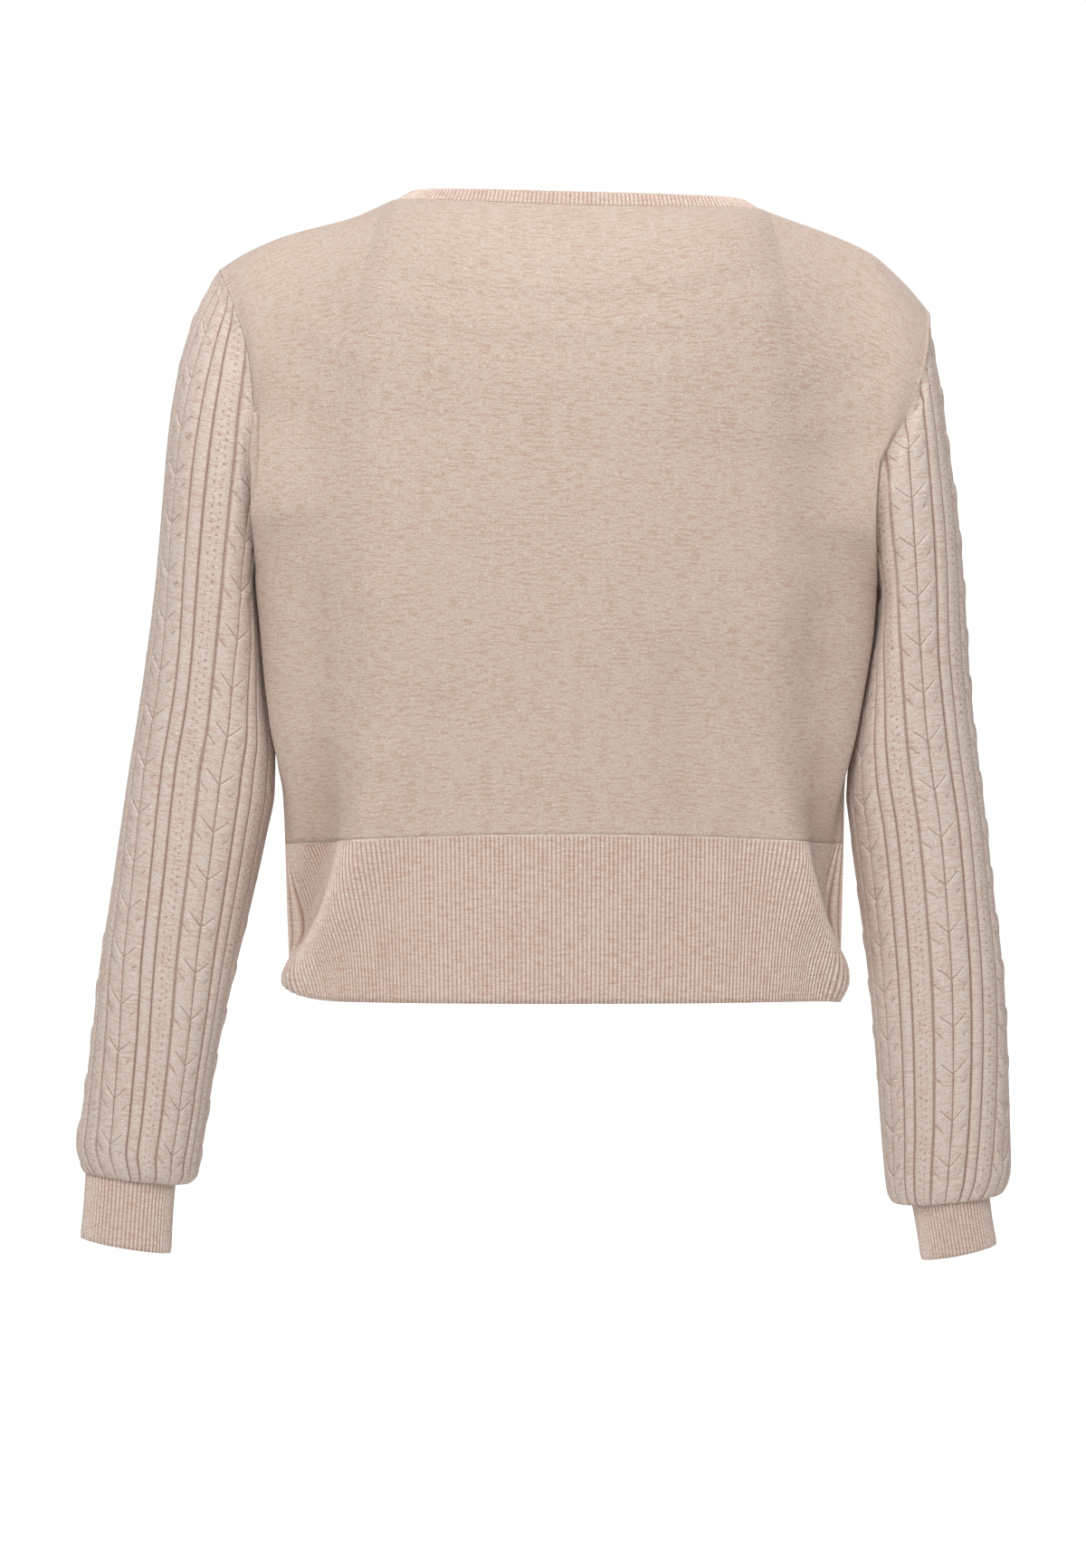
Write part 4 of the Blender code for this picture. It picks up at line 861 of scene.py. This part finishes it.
# outer x and z, inner x and z, half depth, centre y
SLEEVE_LEFT = [
    (215.8, -40.7, 191.0, -228, 55, 0),
    (229.0, -63, 193.0, -237, 60, 0),
    (239.5, -95, 191.9, -247, 62, -1),
    (247.0, -140, 190.6, -259, 61, -2),
    (251.0, -185, 189.3, -274, 59, -3),
    (255.6, -235, 187.7, -293, 56, -5),
    (261.2, -278, 185.0, -315, 53, -7),
    (267.0, -316, 182.0, -340, 50, -9),
    (272.5, -348, 182.6, -362, 48, -12),
    (277.5, -380, 188.5, -392, 47, -16),
    (284.5, -425, 199.0, -438, 45, -22),
    (292.5, -470, 210.0, -483, 43.5, -30),
    (298.5, -517, 220.0, -529, 42, -38),
    (305.0, -560, 226.8, -572, 40, -45),
    (309.2, -582, 230.8, -594, 38, -49),
    (307.8, -591, 232.0, -601.5, 36, -51),
    (305.5, -597.5, 237.5, -607, 31, -52),
    (304.3, -599.5, 242.5, -607.5, 27.5, -52.5),
    (303.2, -597.0, 246.3, -604.0, 25.5, -52.5),
]
SLEEVE_RIGHT = [
    (-220.6, -66.8, -187.8, -235, 55, 0),
    (-223.4, -88, -189.6, -243, 60, 0),
    (-228.0, -112, -188.6, -251, 61, -1),
    (-232.6, -148, -187.0, -262, 60, -2),
    (-238.2, -187, -184.8, -275, 58, -3),
    (-242.8, -235, -181.2, -294, 55, -5),
    (-245.6, -276, -177.1, -314, 52, -7),
    (-248.8, -313, -172.8, -338, 49, -9),
    (-253.0, -346, -170.9, -362, 47, -12),
    (-257.6, -380, -173.9, -390, 46, -16),
    (-263.3, -428, -179.9, -436, 44.5, -22),
    (-269.5, -473, -185.6, -481, 43, -30),
    (-273.0, -519, -190.4, -527, 42, -38),
    (-275.0, -564, -194.0, -572, 40, -45),
    (-276.6, -596, -196.8, -604, 38, -50),
    (-275.0, -606, -198.5, -613.5, 36, -51),
    (-270.5, -613, -203.0, -619.5, 32.5, -52),
    (-266.8, -614, -208.8, -620, 30, -52.5),
    (-262.8, -611.5, -213.4, -616.5, 28.5, -52.5),
]
# ring number, how far the inside lies in from the outer surface, how far up
SLEEVE_INSIDE = [(0, 2.8, 0), (13, 2.8, 0), (14, 2.8, 0), (15, 2.8, 1)]
SLEEVE_INSIDE += [(16, 2.6, 4), (17, 2.3, 6.5), (18, 2.2, 0)]
# ring number, how far the middle of one cable lies from the back of the sleeve towards the body
CABLE_LEFT = [(0, 50), (4, 30), (6, 20), (8, 14.5), (10, 18), (12, 24.5), (14, 25.5), (18, 22)]
CABLE_RIGHT = [(0, 22), (3, 12), (5, 2.5), (7, -6), (9, -10), (11, -6.5), (13, -1), (14, 3), (18, 6)]
REPEATS = 6
REPEAT_WIDTH = 45.0
V_PITCH = 29.8
V_TIP_HEIGHT = {LEFT: -182.0, RIGHT: -215.0}  # one tip of the cable on the back
CABLE_SHARE, PLAIN_SHARE = 0.265, 0.445  # of a repeat, from the cable's middle to the plain rib's two ends
LEAN = 12.3  # how far a crossing climbs from the cable's middle to its edge

# columns across one repeat, in shares of it
HALF_CABLE = CABLE_SHARE * np.array([0.02, 0.055, 0.11, 0.2, 0.32, 0.45, 0.58, 0.7, 0.81, 0.9, 0.96, 1.0])
PLAIN_RIB = mixed(CABLE_SHARE, PLAIN_SHARE, np.array([0.06, 0.16, 0.33, 0.5, 0.67, 0.84, 0.94, 1.0]))
EYELET_RIB = np.array([0.05, 0.12, 0.25, 0.4, 0.5, 0.6, 0.75, 0.88, 0.95])
EYELET_RIB = mixed(PLAIN_SHARE, 1 - CABLE_SHARE, EYELET_RIB)
REPEAT_COLUMNS = np.concatenate([[0.0], HALF_CABLE, PLAIN_RIB, EYELET_RIB, 1 - HALF_CABLE[::-1]])
SLEEVE_ROWS = 330

SQUARE = 0.78  # power on a section's sine and cosine where the sleeve hangs free: 1 is an ellipse
# Above this ring the wales run straight on, each in its own direction round a line through its middle.
STRAIGHT_RING = 6.0
STRAIGHT_LEAN = {LEFT: 0.105, RIGHT: -0.075}  # of that line, outwards for each millimetre down
STRAIGHT_FORWARD = -0.044
LAST_RING = 18.0
PUFF_RING, PUFF_RINGS = 15.2, 2.2  # where the relief begins to run out above the cuff, and over how many
PRESSED_TURN, PRESSED_HALF = 0.49, 0.11  # the line on which the sleeve lies against the body
EYELET_STEP, EYELET_LINES = 4.8, 3.3  # from hole to hole, and between the two lines of holes


def tube_point(rings, side, v, turn):
    """The sleeve's plain surface by ring number and turn: 0 is the outer line, a quarter the back, a half
    the line by the body."""
    ox, oz, ix, iz, deep, y = (column(v) for column in rings[:6])
    c, s = np.cos(2 * np.pi * turn), np.sin(2 * np.pi * turn)
    early = 1 - ease(v / 3.0)
    angle = np.arccos(np.clip(c, -1, 1))
    hole = np.where(s >= 0, armhole(side, angle, BACK)[..., 0], armhole(side, angle, FRONT)[..., 0])
    power = mixed(1.0, SQUARE, ease(v / 4.0) * (1 - ease((v - 11.0) / 4.0)))
    c, s = np.copysign(np.abs(c) ** power, c), np.copysign(np.abs(s) ** power, s)
    flat_hole = mixed(rings[2](0.0), rings[0](0.0), (1 + c) / 2)
    x = (ox + ix) / 2 + c * (ox - ix) / 2 + early * (hole - flat_hole)
    z = (oz + iz) / 2 + c * (oz - iz) / 2
    deep = mixed(deep, np.where(s >= 0, ARMHOLE_DEPTH[BACK], ARMHOLE_DEPTH[FRONT]), 1 - ease(v))
    return points(x, y + s * deep, z)


def tube_inward(rings, side, v, turn):
    """From the outer surface towards the inner one. It is level near the cuff, and at the armhole it stays
    in the armhole's own plane."""

    def at(ring, way):
        return tube_point(rings, side, ring, way)

    e = 2e-3
    dv = at(np.minimum(v + e, LAST_RING), turn) - at(np.maximum(v - e, 0.0), turn)
    dt = at(v, turn + e) - at(v, turn - e)
    p = at(v, turn)
    n = facing(unit(np.cross(dv, dt)), at(v, turn + 0.5) - p)
    centre = (at(v, turn * 0) + at(v, turn * 0 + 0.5)) / 2 - p
    n = unit(mixed(n, unit(centre), ease((v - 13.5) / 1.5)[..., None]))
    a, b = at(v * 0, turn - 1e-3), at(v * 0, turn + 1e-3)
    outward = points(0.0, np.sin(2 * np.pi * turn), np.cos(2 * np.pi * turn))
    return unit(mixed(-square_to_hole(a, b, outward), n, ease(v / 0.35)[..., None]))


def heading(rings, side, v, turn):
    """Direction of the tube's points round the straight line, in turns."""
    p = tube_point(rings, side, v, turn)
    centre = tube_point(rings, side, np.array([STRAIGHT_RING] * 2), np.array([0.0, 0.5])).mean(axis=0)
    down = centre[2] - p[..., 2]
    x = p[..., 0] - centre[0] - STRAIGHT_LEAN[side] * down
    y = p[..., 1] - centre[1] - STRAIGHT_FORWARD * down
    return np.arctan2(y, side * x) / (2 * np.pi)


GROOVE = 2.3  # depth of the grooves beside the ribs
GATHERS = 5  # in each repeat, where the cuff draws the sleeve in


def rounded(share, flat):
    """A rib's height across, from 0 at its edges to 1, with steep flanks."""
    return np.maximum(1 - np.abs(2 * share - 1) ** flat, 0.0) ** 0.62


def cable_relief(p, w):
    """How far the knit stands below the sleeve's outer surface. p is the place across a repeat, from a
    cable's middle, and w the distance down from a crossing's upper edge."""
    q = (p + 0.5) % 1.0 - 0.5
    a = np.clip(np.abs(q) / CABLE_SHARE, 0, 1)
    band = ease(w / 1.6) * (1 - ease((w - 3.0) / 9.0))
    sunk = ease((w - V_PITCH + 9.0) / 8.0)
    inner_part = ease(a / 0.12) * (1 - 0.75 * ease((a - 0.66) / 0.2))
    reach = np.where(q < 0, ease((a - 0.42) / 0.15), ease((a - 0.5) / 0.08) * (1 - ease((a - 0.74) / 0.1)))
    slit = np.exp(-(((w - 11.5) / 1.3) ** 2)) * reach * (1 - ease((a - 0.95) / 0.05))
    cable = mixed(1.35, GROOVE, a) * (1 - 0.95 * rounded(a, 3.2)) + 0.45
    cable = cable + (0.45 * sunk - 0.8 * band) * inner_part + 0.8 * slit
    plain = np.clip((q - CABLE_SHARE) / (PLAIN_SHARE - CABLE_SHARE), 0, 1)
    eyelet = np.clip((q % 1.0 - PLAIN_SHARE) / (1 - CABLE_SHARE - PLAIN_SHARE), 0, 1)
    in_cable, in_plain = np.abs(q) <= CABLE_SHARE, (q > CABLE_SHARE) & (q <= PLAIN_SHARE)
    ribs = np.where(in_plain, GROOVE - 1.9 * rounded(plain, 2.4), GROOVE - 1.75 * rounded(eyelet, 3.0))
    return np.where(in_cable, cable, ribs)


def stroke(wire, middle, half):
    """1 on a line of this half width round the place where the wire has the value middle, 0 beyond it."""
    return (wire - middle).math("ABSOLUTE").ramp(half * 1.5, half * 0.3)


def sleeve_pattern(across, along):
    """Fine lines of painted shade in the grooves and round each crossing, and two staggered lines of small
    holes down each eyelet rib coloured darker as painted shade, with a painted highlight on each crossing's
    raised edge. It gives the painted shade, the painted highlight and the depth of these. along is 0 at a
    crossing's tip."""
    place = (across * (1000 / REPEAT_WIDTH)).math("FRACT")
    q = ((place + 0.5).math("FRACT") - 0.5) * REPEAT_WIDTH
    half_cable = CABLE_SHARE * REPEAT_WIDTH
    a = q.math("ABSOLUTE") * (1 / half_cable)
    w = ((along * 1000 + a * LEAN) * (1 / V_PITCH)).math("FRACT") * V_PITCH
    near_middle = a.ramp(0.72, 0.6)
    on_left, on_right = q.ramp(0.1, -0.1), q.ramp(-0.1, 0.1)
    # Painted shade in the cable's middle groove, the grooves beside the cable and the plain rib's groove.
    painted_shade = stroke(q, 0.0, 0.42) * 0.8
    for at, wide, strength in ((half_cable, 0.62, 1.0), (-half_cable, 0.85, 0.8)):
        painted_shade = painted_shade.math("MAXIMUM", stroke(q, at, wide) * strength)
    painted_shade = painted_shade.math("MAXIMUM", stroke(place * REPEAT_WIDTH, PLAIN_SHARE * REPEAT_WIDTH, 0.62))
    # Painted shade in the crease under each crossing's strand and in its slits.
    above = stroke(w, V_PITCH - 0.55, 0.6) * near_middle * 0.8
    slit = stroke(w, 11.6, 0.55) * (a.ramp(0.45, 0.55) * a.ramp(1.0, 0.93) * on_left).math(
        "MAXIMUM", a.ramp(0.48, 0.54) * a.ramp(0.78, 0.7) * on_right
    )
    painted_shade = painted_shade.math("MAXIMUM", above).math("MAXIMUM", slit * 0.75)
    # Painted shade in the eyelet holes, made a little uneven.
    loose = speckle(across.tree, across, along, 0.004, 0.004, 0.0, 21.0) - 0.5
    for offset, phase in ((-EYELET_LINES / 2, 0.0), (EYELET_LINES / 2, 0.5)):
        middle = (PLAIN_SHARE + 1 - CABLE_SHARE) / 2 * REPEAT_WIDTH + offset
        dx = place * REPEAT_WIDTH - middle + loose * 2.2
        dz = ((along * (1000 / EYELET_STEP) + phase + loose * 0.3).math("FRACT") - 0.5) * EYELET_STEP
        away = (dx.math("POWER", 2.0) + (dz * 0.62).math("POWER", 2.0)).math("SQRT")
        painted_shade = painted_shade.math("MAXIMUM", away.ramp(0.75, 0.3) * (loose * 1.2 + 0.7))
    # Painted highlight: the raised edge of each crossing is coloured lighter.
    raised = stroke(w, 0.9, 0.7) * near_middle
    return painted_shade * 0.7, raised * 0.3, painted_shade * 2.2 - raised * 2.0


# Painted light: a lighter copy of the yarn for the sleeves.
cable_knit = knit_material("cable_knit", 0.0015, 0.0013, 0.4, 1.16, sleeve_pattern)


def sleeve(name, table, side, cable):
    """A sleeve's tube, its relief raised on the plain surface through the table's rings."""
    rings = [through([(i, *row) for i, row in enumerate(table)], column) for column in range(1, 7)]
    lies_in, lies_up, cable_at = through(SLEEVE_INSIDE, 1), through(SLEEVE_INSIDE, 2), through(cable)
    many = np.linspace(0, LAST_RING, 400)
    length = run_length(tube_point(rings, side, many, np.full_like(many, 0.25)))
    rows = np.interp(np.linspace(0, length[-1], SLEEVE_ROWS), length, many)
    # The tube's own seam lies by the body, in the groove there.
    start = 1 + PLAIN_SHARE
    p = np.concatenate([REPEAT_COLUMNS + k for k in range(1, REPEATS + 2)])
    p = p[(p > start - 1e-6) & (p < start + REPEATS + 1e-6)]
    # Turn of each column: the same share of the way round from the cable in every ring.
    turns = np.linspace(0, 1, 97)
    ring_v = np.linspace(0, LAST_RING, 120)
    vv, tt = np.meshgrid(ring_v, 0.25 + turns, indexing="ij")
    round_it = run_length(tube_point(rings, side, vv, tt))
    girth = round_it[:, -1]
    share = side * p[None, :] / REPEATS + (cable_at(ring_v) / girth)[:, None]
    whole = np.floor(share)
    distance = (share - whole) * girth[:, None]
    turn_table = np.stack([np.interp(distance[i], round_it[i], turns) for i in range(len(ring_v))])
    turn_table = turn_table + whole + 0.25
    circle = np.linspace(0, 1, 181)

    def headings(ring):
        return np.maximum.accumulate(np.unwrap(heading(rings, side, ring + circle * 0, circle), period=1.0))

    level = turn_table[np.searchsorted(ring_v, STRAIGHT_RING)]
    wanted = np.interp(level % 1.0, circle, headings(STRAIGHT_RING))
    for i, at in enumerate(ring_v[ring_v < STRAIGHT_RING + 1]):
        found = headings(at)
        straight = np.interp((wanted - found[0]) % 1.0 + found[0], found, circle)
        straight += np.round(turn_table[i] - straight)
        turn_table[i] = mixed(straight, turn_table[i], ease((at - STRAIGHT_RING + 1.5) / 2.5))

    def turned(v):
        pick = np.clip(v / LAST_RING * (len(ring_v) - 1), 0, len(ring_v) - 1.001)
        low, column = pick.astype(int), np.broadcast_to(np.arange(len(p)), v.shape)
        return mixed(turn_table[low, column], turn_table[low + 1, column], pick - low)

    v = np.repeat(rows[:, None], len(p), 1)
    turn = turned(v)
    surface, inward = tube_point(rings, side, v, turn), tube_inward(rings, side, v, turn)
    surface[..., 0] += side * ARMHOLE_GAP * (1 - ease(v / 1.0))
    # Rows of the pattern are counted up each wale from the cuff, and one crossing's tip is at V_TIP_HEIGHT.
    walked = np.linalg.norm(np.diff(surface[::-1], axis=0), axis=-1).cumsum(axis=0)[::-1]
    down = -np.concatenate([walked, np.zeros((1, len(p)))])
    back_cable = int(np.argmin(np.abs(p - REPEATS)))
    down -= np.interp(-V_TIP_HEIGHT[side], -surface[:, back_cable, 2], down[:, back_cable])
    near = (p % 1.0 + 0.5) % 1.0 - 0.5
    w = (down + LEAN * np.clip(np.abs(near) / CABLE_SHARE, 0, 1)[None, :]) % V_PITCH
    depth = cable_relief(np.broadcast_to(p, v.shape), w)
    # Pressed flat where it lies against the body.
    pressed = np.exp(-(((turn % 1.0 - PRESSED_TURN) / PRESSED_HALF) ** 2))
    pressed = pressed * ease((v - 3) / 2) * (1 - ease((v - 9) / 2))
    depth = depth * (1 - 0.8 * pressed)
    # Low at the armhole seam. It runs out into pleats where the cuff gathers the sleeve in.
    fade = 0.1 + 0.9 * ease(v / 0.3)
    puff = 1 - ease((v - PUFF_RING) / PUFF_RINGS)
    pleats = 0.5 - 0.5 * np.cos(2 * np.pi * p * GATHERS)
    gather = 0.9 * ease((v - 14.6) / 1.5) * (1 - ease((v - 16.9) / 1.1)) * pleats
    outer = surface + inward * (depth * fade * puff + gather)[..., None]
    inner_rows = spread(0, (14, 33), (LAST_RING, 11))
    vi, _ = np.meshgrid(inner_rows, p, indexing="ij")
    turn = turned(vi)
    inner = tube_point(rings, side, vi, turn)
    inner[..., 0] += side * ARMHOLE_GAP * (1 - ease(vi / 1.0))
    inner += tube_inward(rings, side, vi, turn) * lies_in(vi)[..., None]
    inner[..., 2] += lies_up(vi)
    return knit_shell(name, outer, inner, p[None, :] * REPEAT_WIDTH * MM, down * MM, tube=True)


left_sleeve = sleeve("sleeve_left_knit", SLEEVE_LEFT, LEFT, CABLE_LEFT)
dress(left_sleeve, "sleeve_left", cable_knit)
right_sleeve = sleeve("sleeve_right_knit", SLEEVE_RIGHT, RIGHT, CABLE_RIGHT)
dress(right_sleeve, "sleeve_right", cable_knit)

# ---------------------------------------------------------------- cuffs
# Narrow tubes of the same 1x1 rib, linked to the sleeves' ends. They grip the wrist and gather the full
# sleeve above them.

# outer x and z, inner x and z, half depth, centre y, at the seam and at the open end
CUFF_LEFT = [(303.0, -597.32, 246.5, -604.32, 25.3, -52.5), (307.0, -641, 249.8, -651, 26, -58)]
CUFF_RIGHT = [(-262.6, -611.82, -213.6, -616.82, 28.3, -52.5), (-268.0, -645, -220.3, -655, 28.5, -58)]
CUFF_RIBS = 64
CUFF_LENGTH = 47.0
CUFF_WAIST = 0.5  # how far its middle is drawn in
CUFF_RIM = 0.93  # of the way down, where its outside starts to round in


def cuff(name, rings):
    """A tube of ribs between its two rings."""
    place = np.linspace(0, CUFF_RIBS, CUFF_RIBS * SAMPLES_A_RIB + 1)[None, :]
    v = np.linspace(0, 1, 14)[:, None]
    ox, oz, ix, iz, deep, y = (mixed(a, b, v) for a, b in zip(*rings))
    c, s = np.cos(2 * np.pi * place / CUFF_RIBS), np.sin(2 * np.pi * place / CUFF_RIBS)
    middle = points((ox + ix) / 2, y, (oz + iz) / 2)
    p = points((ox + ix) / 2 + c * (ox - ix) / 2, y + s * deep, (oz + iz) / 2 + c * (oz - iz) / 2)
    inward = unit(middle - p)
    waist = CUFF_WAIST * np.sin(np.pi * v)
    rim = RIM_ROUND * ease((v - CUFF_RIM) / (1 - CUFF_RIM))
    outer = p + inward * (waist + rim + RIB_CUT * valley(place))[..., None]
    inner = p + inward * (waist + rib_inside(place))[..., None]
    along = v * CUFF_LENGTH * MM
    # Painted shade in the ribs' valleys.
    return knit_shell(name, outer, inner, place * RIB_PITCH * MM, along, valley(place) ** 3, tube=True)


left_cuff, right_cuff = cuff("cuff_left_knit", CUFF_LEFT), cuff("cuff_right_knit", CUFF_RIGHT)
dress(left_cuff, "cuff_left", rib_knit)
dress(right_cuff, "cuff_right", rib_knit)

# ---------------------------------------------------------------- buttons
# Seven flat four-hole buttons, 11.5 mm across, cut from pale shell and polished, with a raised rim and a
# dished face. Each is sewn on with a cross of yarn-coloured thread.

BUTTON_RADIUS, BUTTON_THICK = 5.75, 2.6
BUTTONS, BUTTON_TOP, BUTTON_LOW = 7, -93.0, -477.0
RIM_SHARE, DISH_SLOPE, DISH_DEPTH = 0.2, 0.08, 0.28  # of the radius, of the radius, of the thickness
HOLE_RADIUS, HOLE_OFFSET = 0.75, 1.3
THREAD_RADIUS, LOOP_RADIUS, LOOP_HEIGHT = 0.42, 1.8, 0.6
shell, tree, finish = new_material("polished_shell")
spot = tree.nodes.new("ShaderNodeTexCoord")
grain = tree.nodes.new("ShaderNodeTexNoise")
tune(grain, Scale=260.0, Detail=3.0, Distortion=1.4)
tree.links.new(spot.outputs["Object"], grain.inputs["Vector"])
clouds = blend(tree, Wire(tree, grain.outputs[0]), (0.50, 0.41, 0.33), (0.74, 0.68, 0.60))
tree.links.new(clouds, finish.inputs["Base Color"])
tune(finish, Roughness=0.22, Coat_Weight=0.4, Coat_Roughness=0.12)
thread = knit_material("thread", 0.0006, 0.0006, 0.2)


def blank_button():
    """A button lying flat on the plane z = 0, in metres."""
    radius, thick = BUTTON_RADIUS * MM, BUTTON_THICK * MM
    bpy.ops.object.select_all(action="DESELECT")
    bpy.ops.mesh.primitive_cylinder_add(vertices=40, radius=radius, depth=thick, location=(0, 0, thick / 2))
    blank = bpy.context.object
    bpy.ops.object.transform_apply(location=True)
    bpy.ops.object.mode_set(mode="EDIT")
    bpy.ops.mesh.select_mode(type="FACE")
    bpy.ops.mesh.select_all(action="DESELECT")
    bpy.ops.object.mode_set(mode="OBJECT")
    for face in blank.data.polygons:
        face.select = face.normal.z > 0.9
    bpy.ops.object.mode_set(mode="EDIT")
    bpy.ops.mesh.inset(thickness=radius * RIM_SHARE)
    bpy.ops.mesh.inset(thickness=radius * DISH_SLOPE)
    bpy.ops.transform.translate(value=(0, 0, -thick * DISH_DEPTH))
    bpy.ops.object.mode_set(mode="OBJECT")
    for x, y in ((1, 1), (1, -1), (-1, 1), (-1, -1)):
        bpy.ops.object.select_all(action="DESELECT")
        spot = (x * HOLE_OFFSET * MM, y * HOLE_OFFSET * MM, 0)
        bpy.ops.mesh.primitive_cylinder_add(vertices=16, radius=HOLE_RADIUS * MM, depth=0.01, location=spot)
        drill = bpy.context.object
        hole = blank.modifiers.new("hole", "BOOLEAN")
        hole.operation, hole.solver, hole.object = "DIFFERENCE", "EXACT", drill
        bpy.ops.object.select_all(action="DESELECT")
        blank.select_set(True)
        bpy.context.view_layer.objects.active = blank
        bpy.ops.object.modifier_apply(modifier=hole.name)
        bpy.data.objects.remove(drill, do_unlink=True)
    soft = blank.modifiers.new("soft_edge", "BEVEL")
    soft.width, soft.segments, soft.limit_method = 0.0002, 2, "ANGLE"
    bpy.ops.object.modifier_apply(modifier=soft.name)
    bpy.ops.object.shade_smooth_by_angle(angle=np.radians(35))
    return blank


def blank_thread():
    """Two crossing loops of thread through the four holes."""
    loops = []
    for turn in (np.radians(45), np.radians(135)):
        bpy.ops.object.select_all(action="DESELECT")
        bpy.ops.mesh.primitive_torus_add(
            major_segments=24, minor_segments=8,
            major_radius=LOOP_RADIUS * MM, minor_radius=THREAD_RADIUS * MM,
            location=(0, 0, LOOP_HEIGHT * MM), rotation=(np.pi / 2, 0, turn),
        )
        bpy.ops.object.transform_apply(location=True, rotation=True)
        loops.append(bpy.context.object)
    bpy.ops.object.select_all(action="DESELECT")
    for loop in loops:
        loop.select_set(True)
    bpy.context.view_layer.objects.active = loops[0]
    bpy.ops.object.join()
    bpy.ops.object.shade_smooth()
    return loops[0]


button_form, thread_form = blank_button(), blank_thread()
rows = np.linspace(0, 3, 1200)
front_line = cloth(np.zeros_like(rows), rows, FRONT)
front_out = unit(cloth_normal(np.zeros_like(rows), rows, FRONT) * [0.0, 1.0, 1.0])
for k in range(BUTTONS):
    height = mixed(BUTTON_TOP, BUTTON_LOW, k / (BUTTONS - 1))
    at = int(np.argmin(np.abs(front_line[:, 2] - height)))
    out = front_out[at]
    foot = (front_line[at] + out * SEAM_GAP) * MM
    sideways = np.array([1.0, 0.0, 0.0])
    frame_at = np.eye(4)
    frame_at[:3, :4] = np.stack([sideways, np.cross(out, sideways), out, foot], 1)
    for form, part, finish in ((button_form, "shell", shell), (thread_form, "thread", thread)):
        piece = form.copy()
        piece.data = form.data.copy()
        piece.name = f"button_{k + 1}_{part}"
        piece.data.transform(Matrix(frame_at.tolist()))
        piece.data.materials.clear()
        piece.data.materials.append(finish)
        scene.collection.objects.link(piece)
        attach(piece, "root")
        if finish is shell:
            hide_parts(f"button_{k + 1}")
for form in (button_form, thread_form):
    bpy.data.objects.remove(form, do_unlink=True)
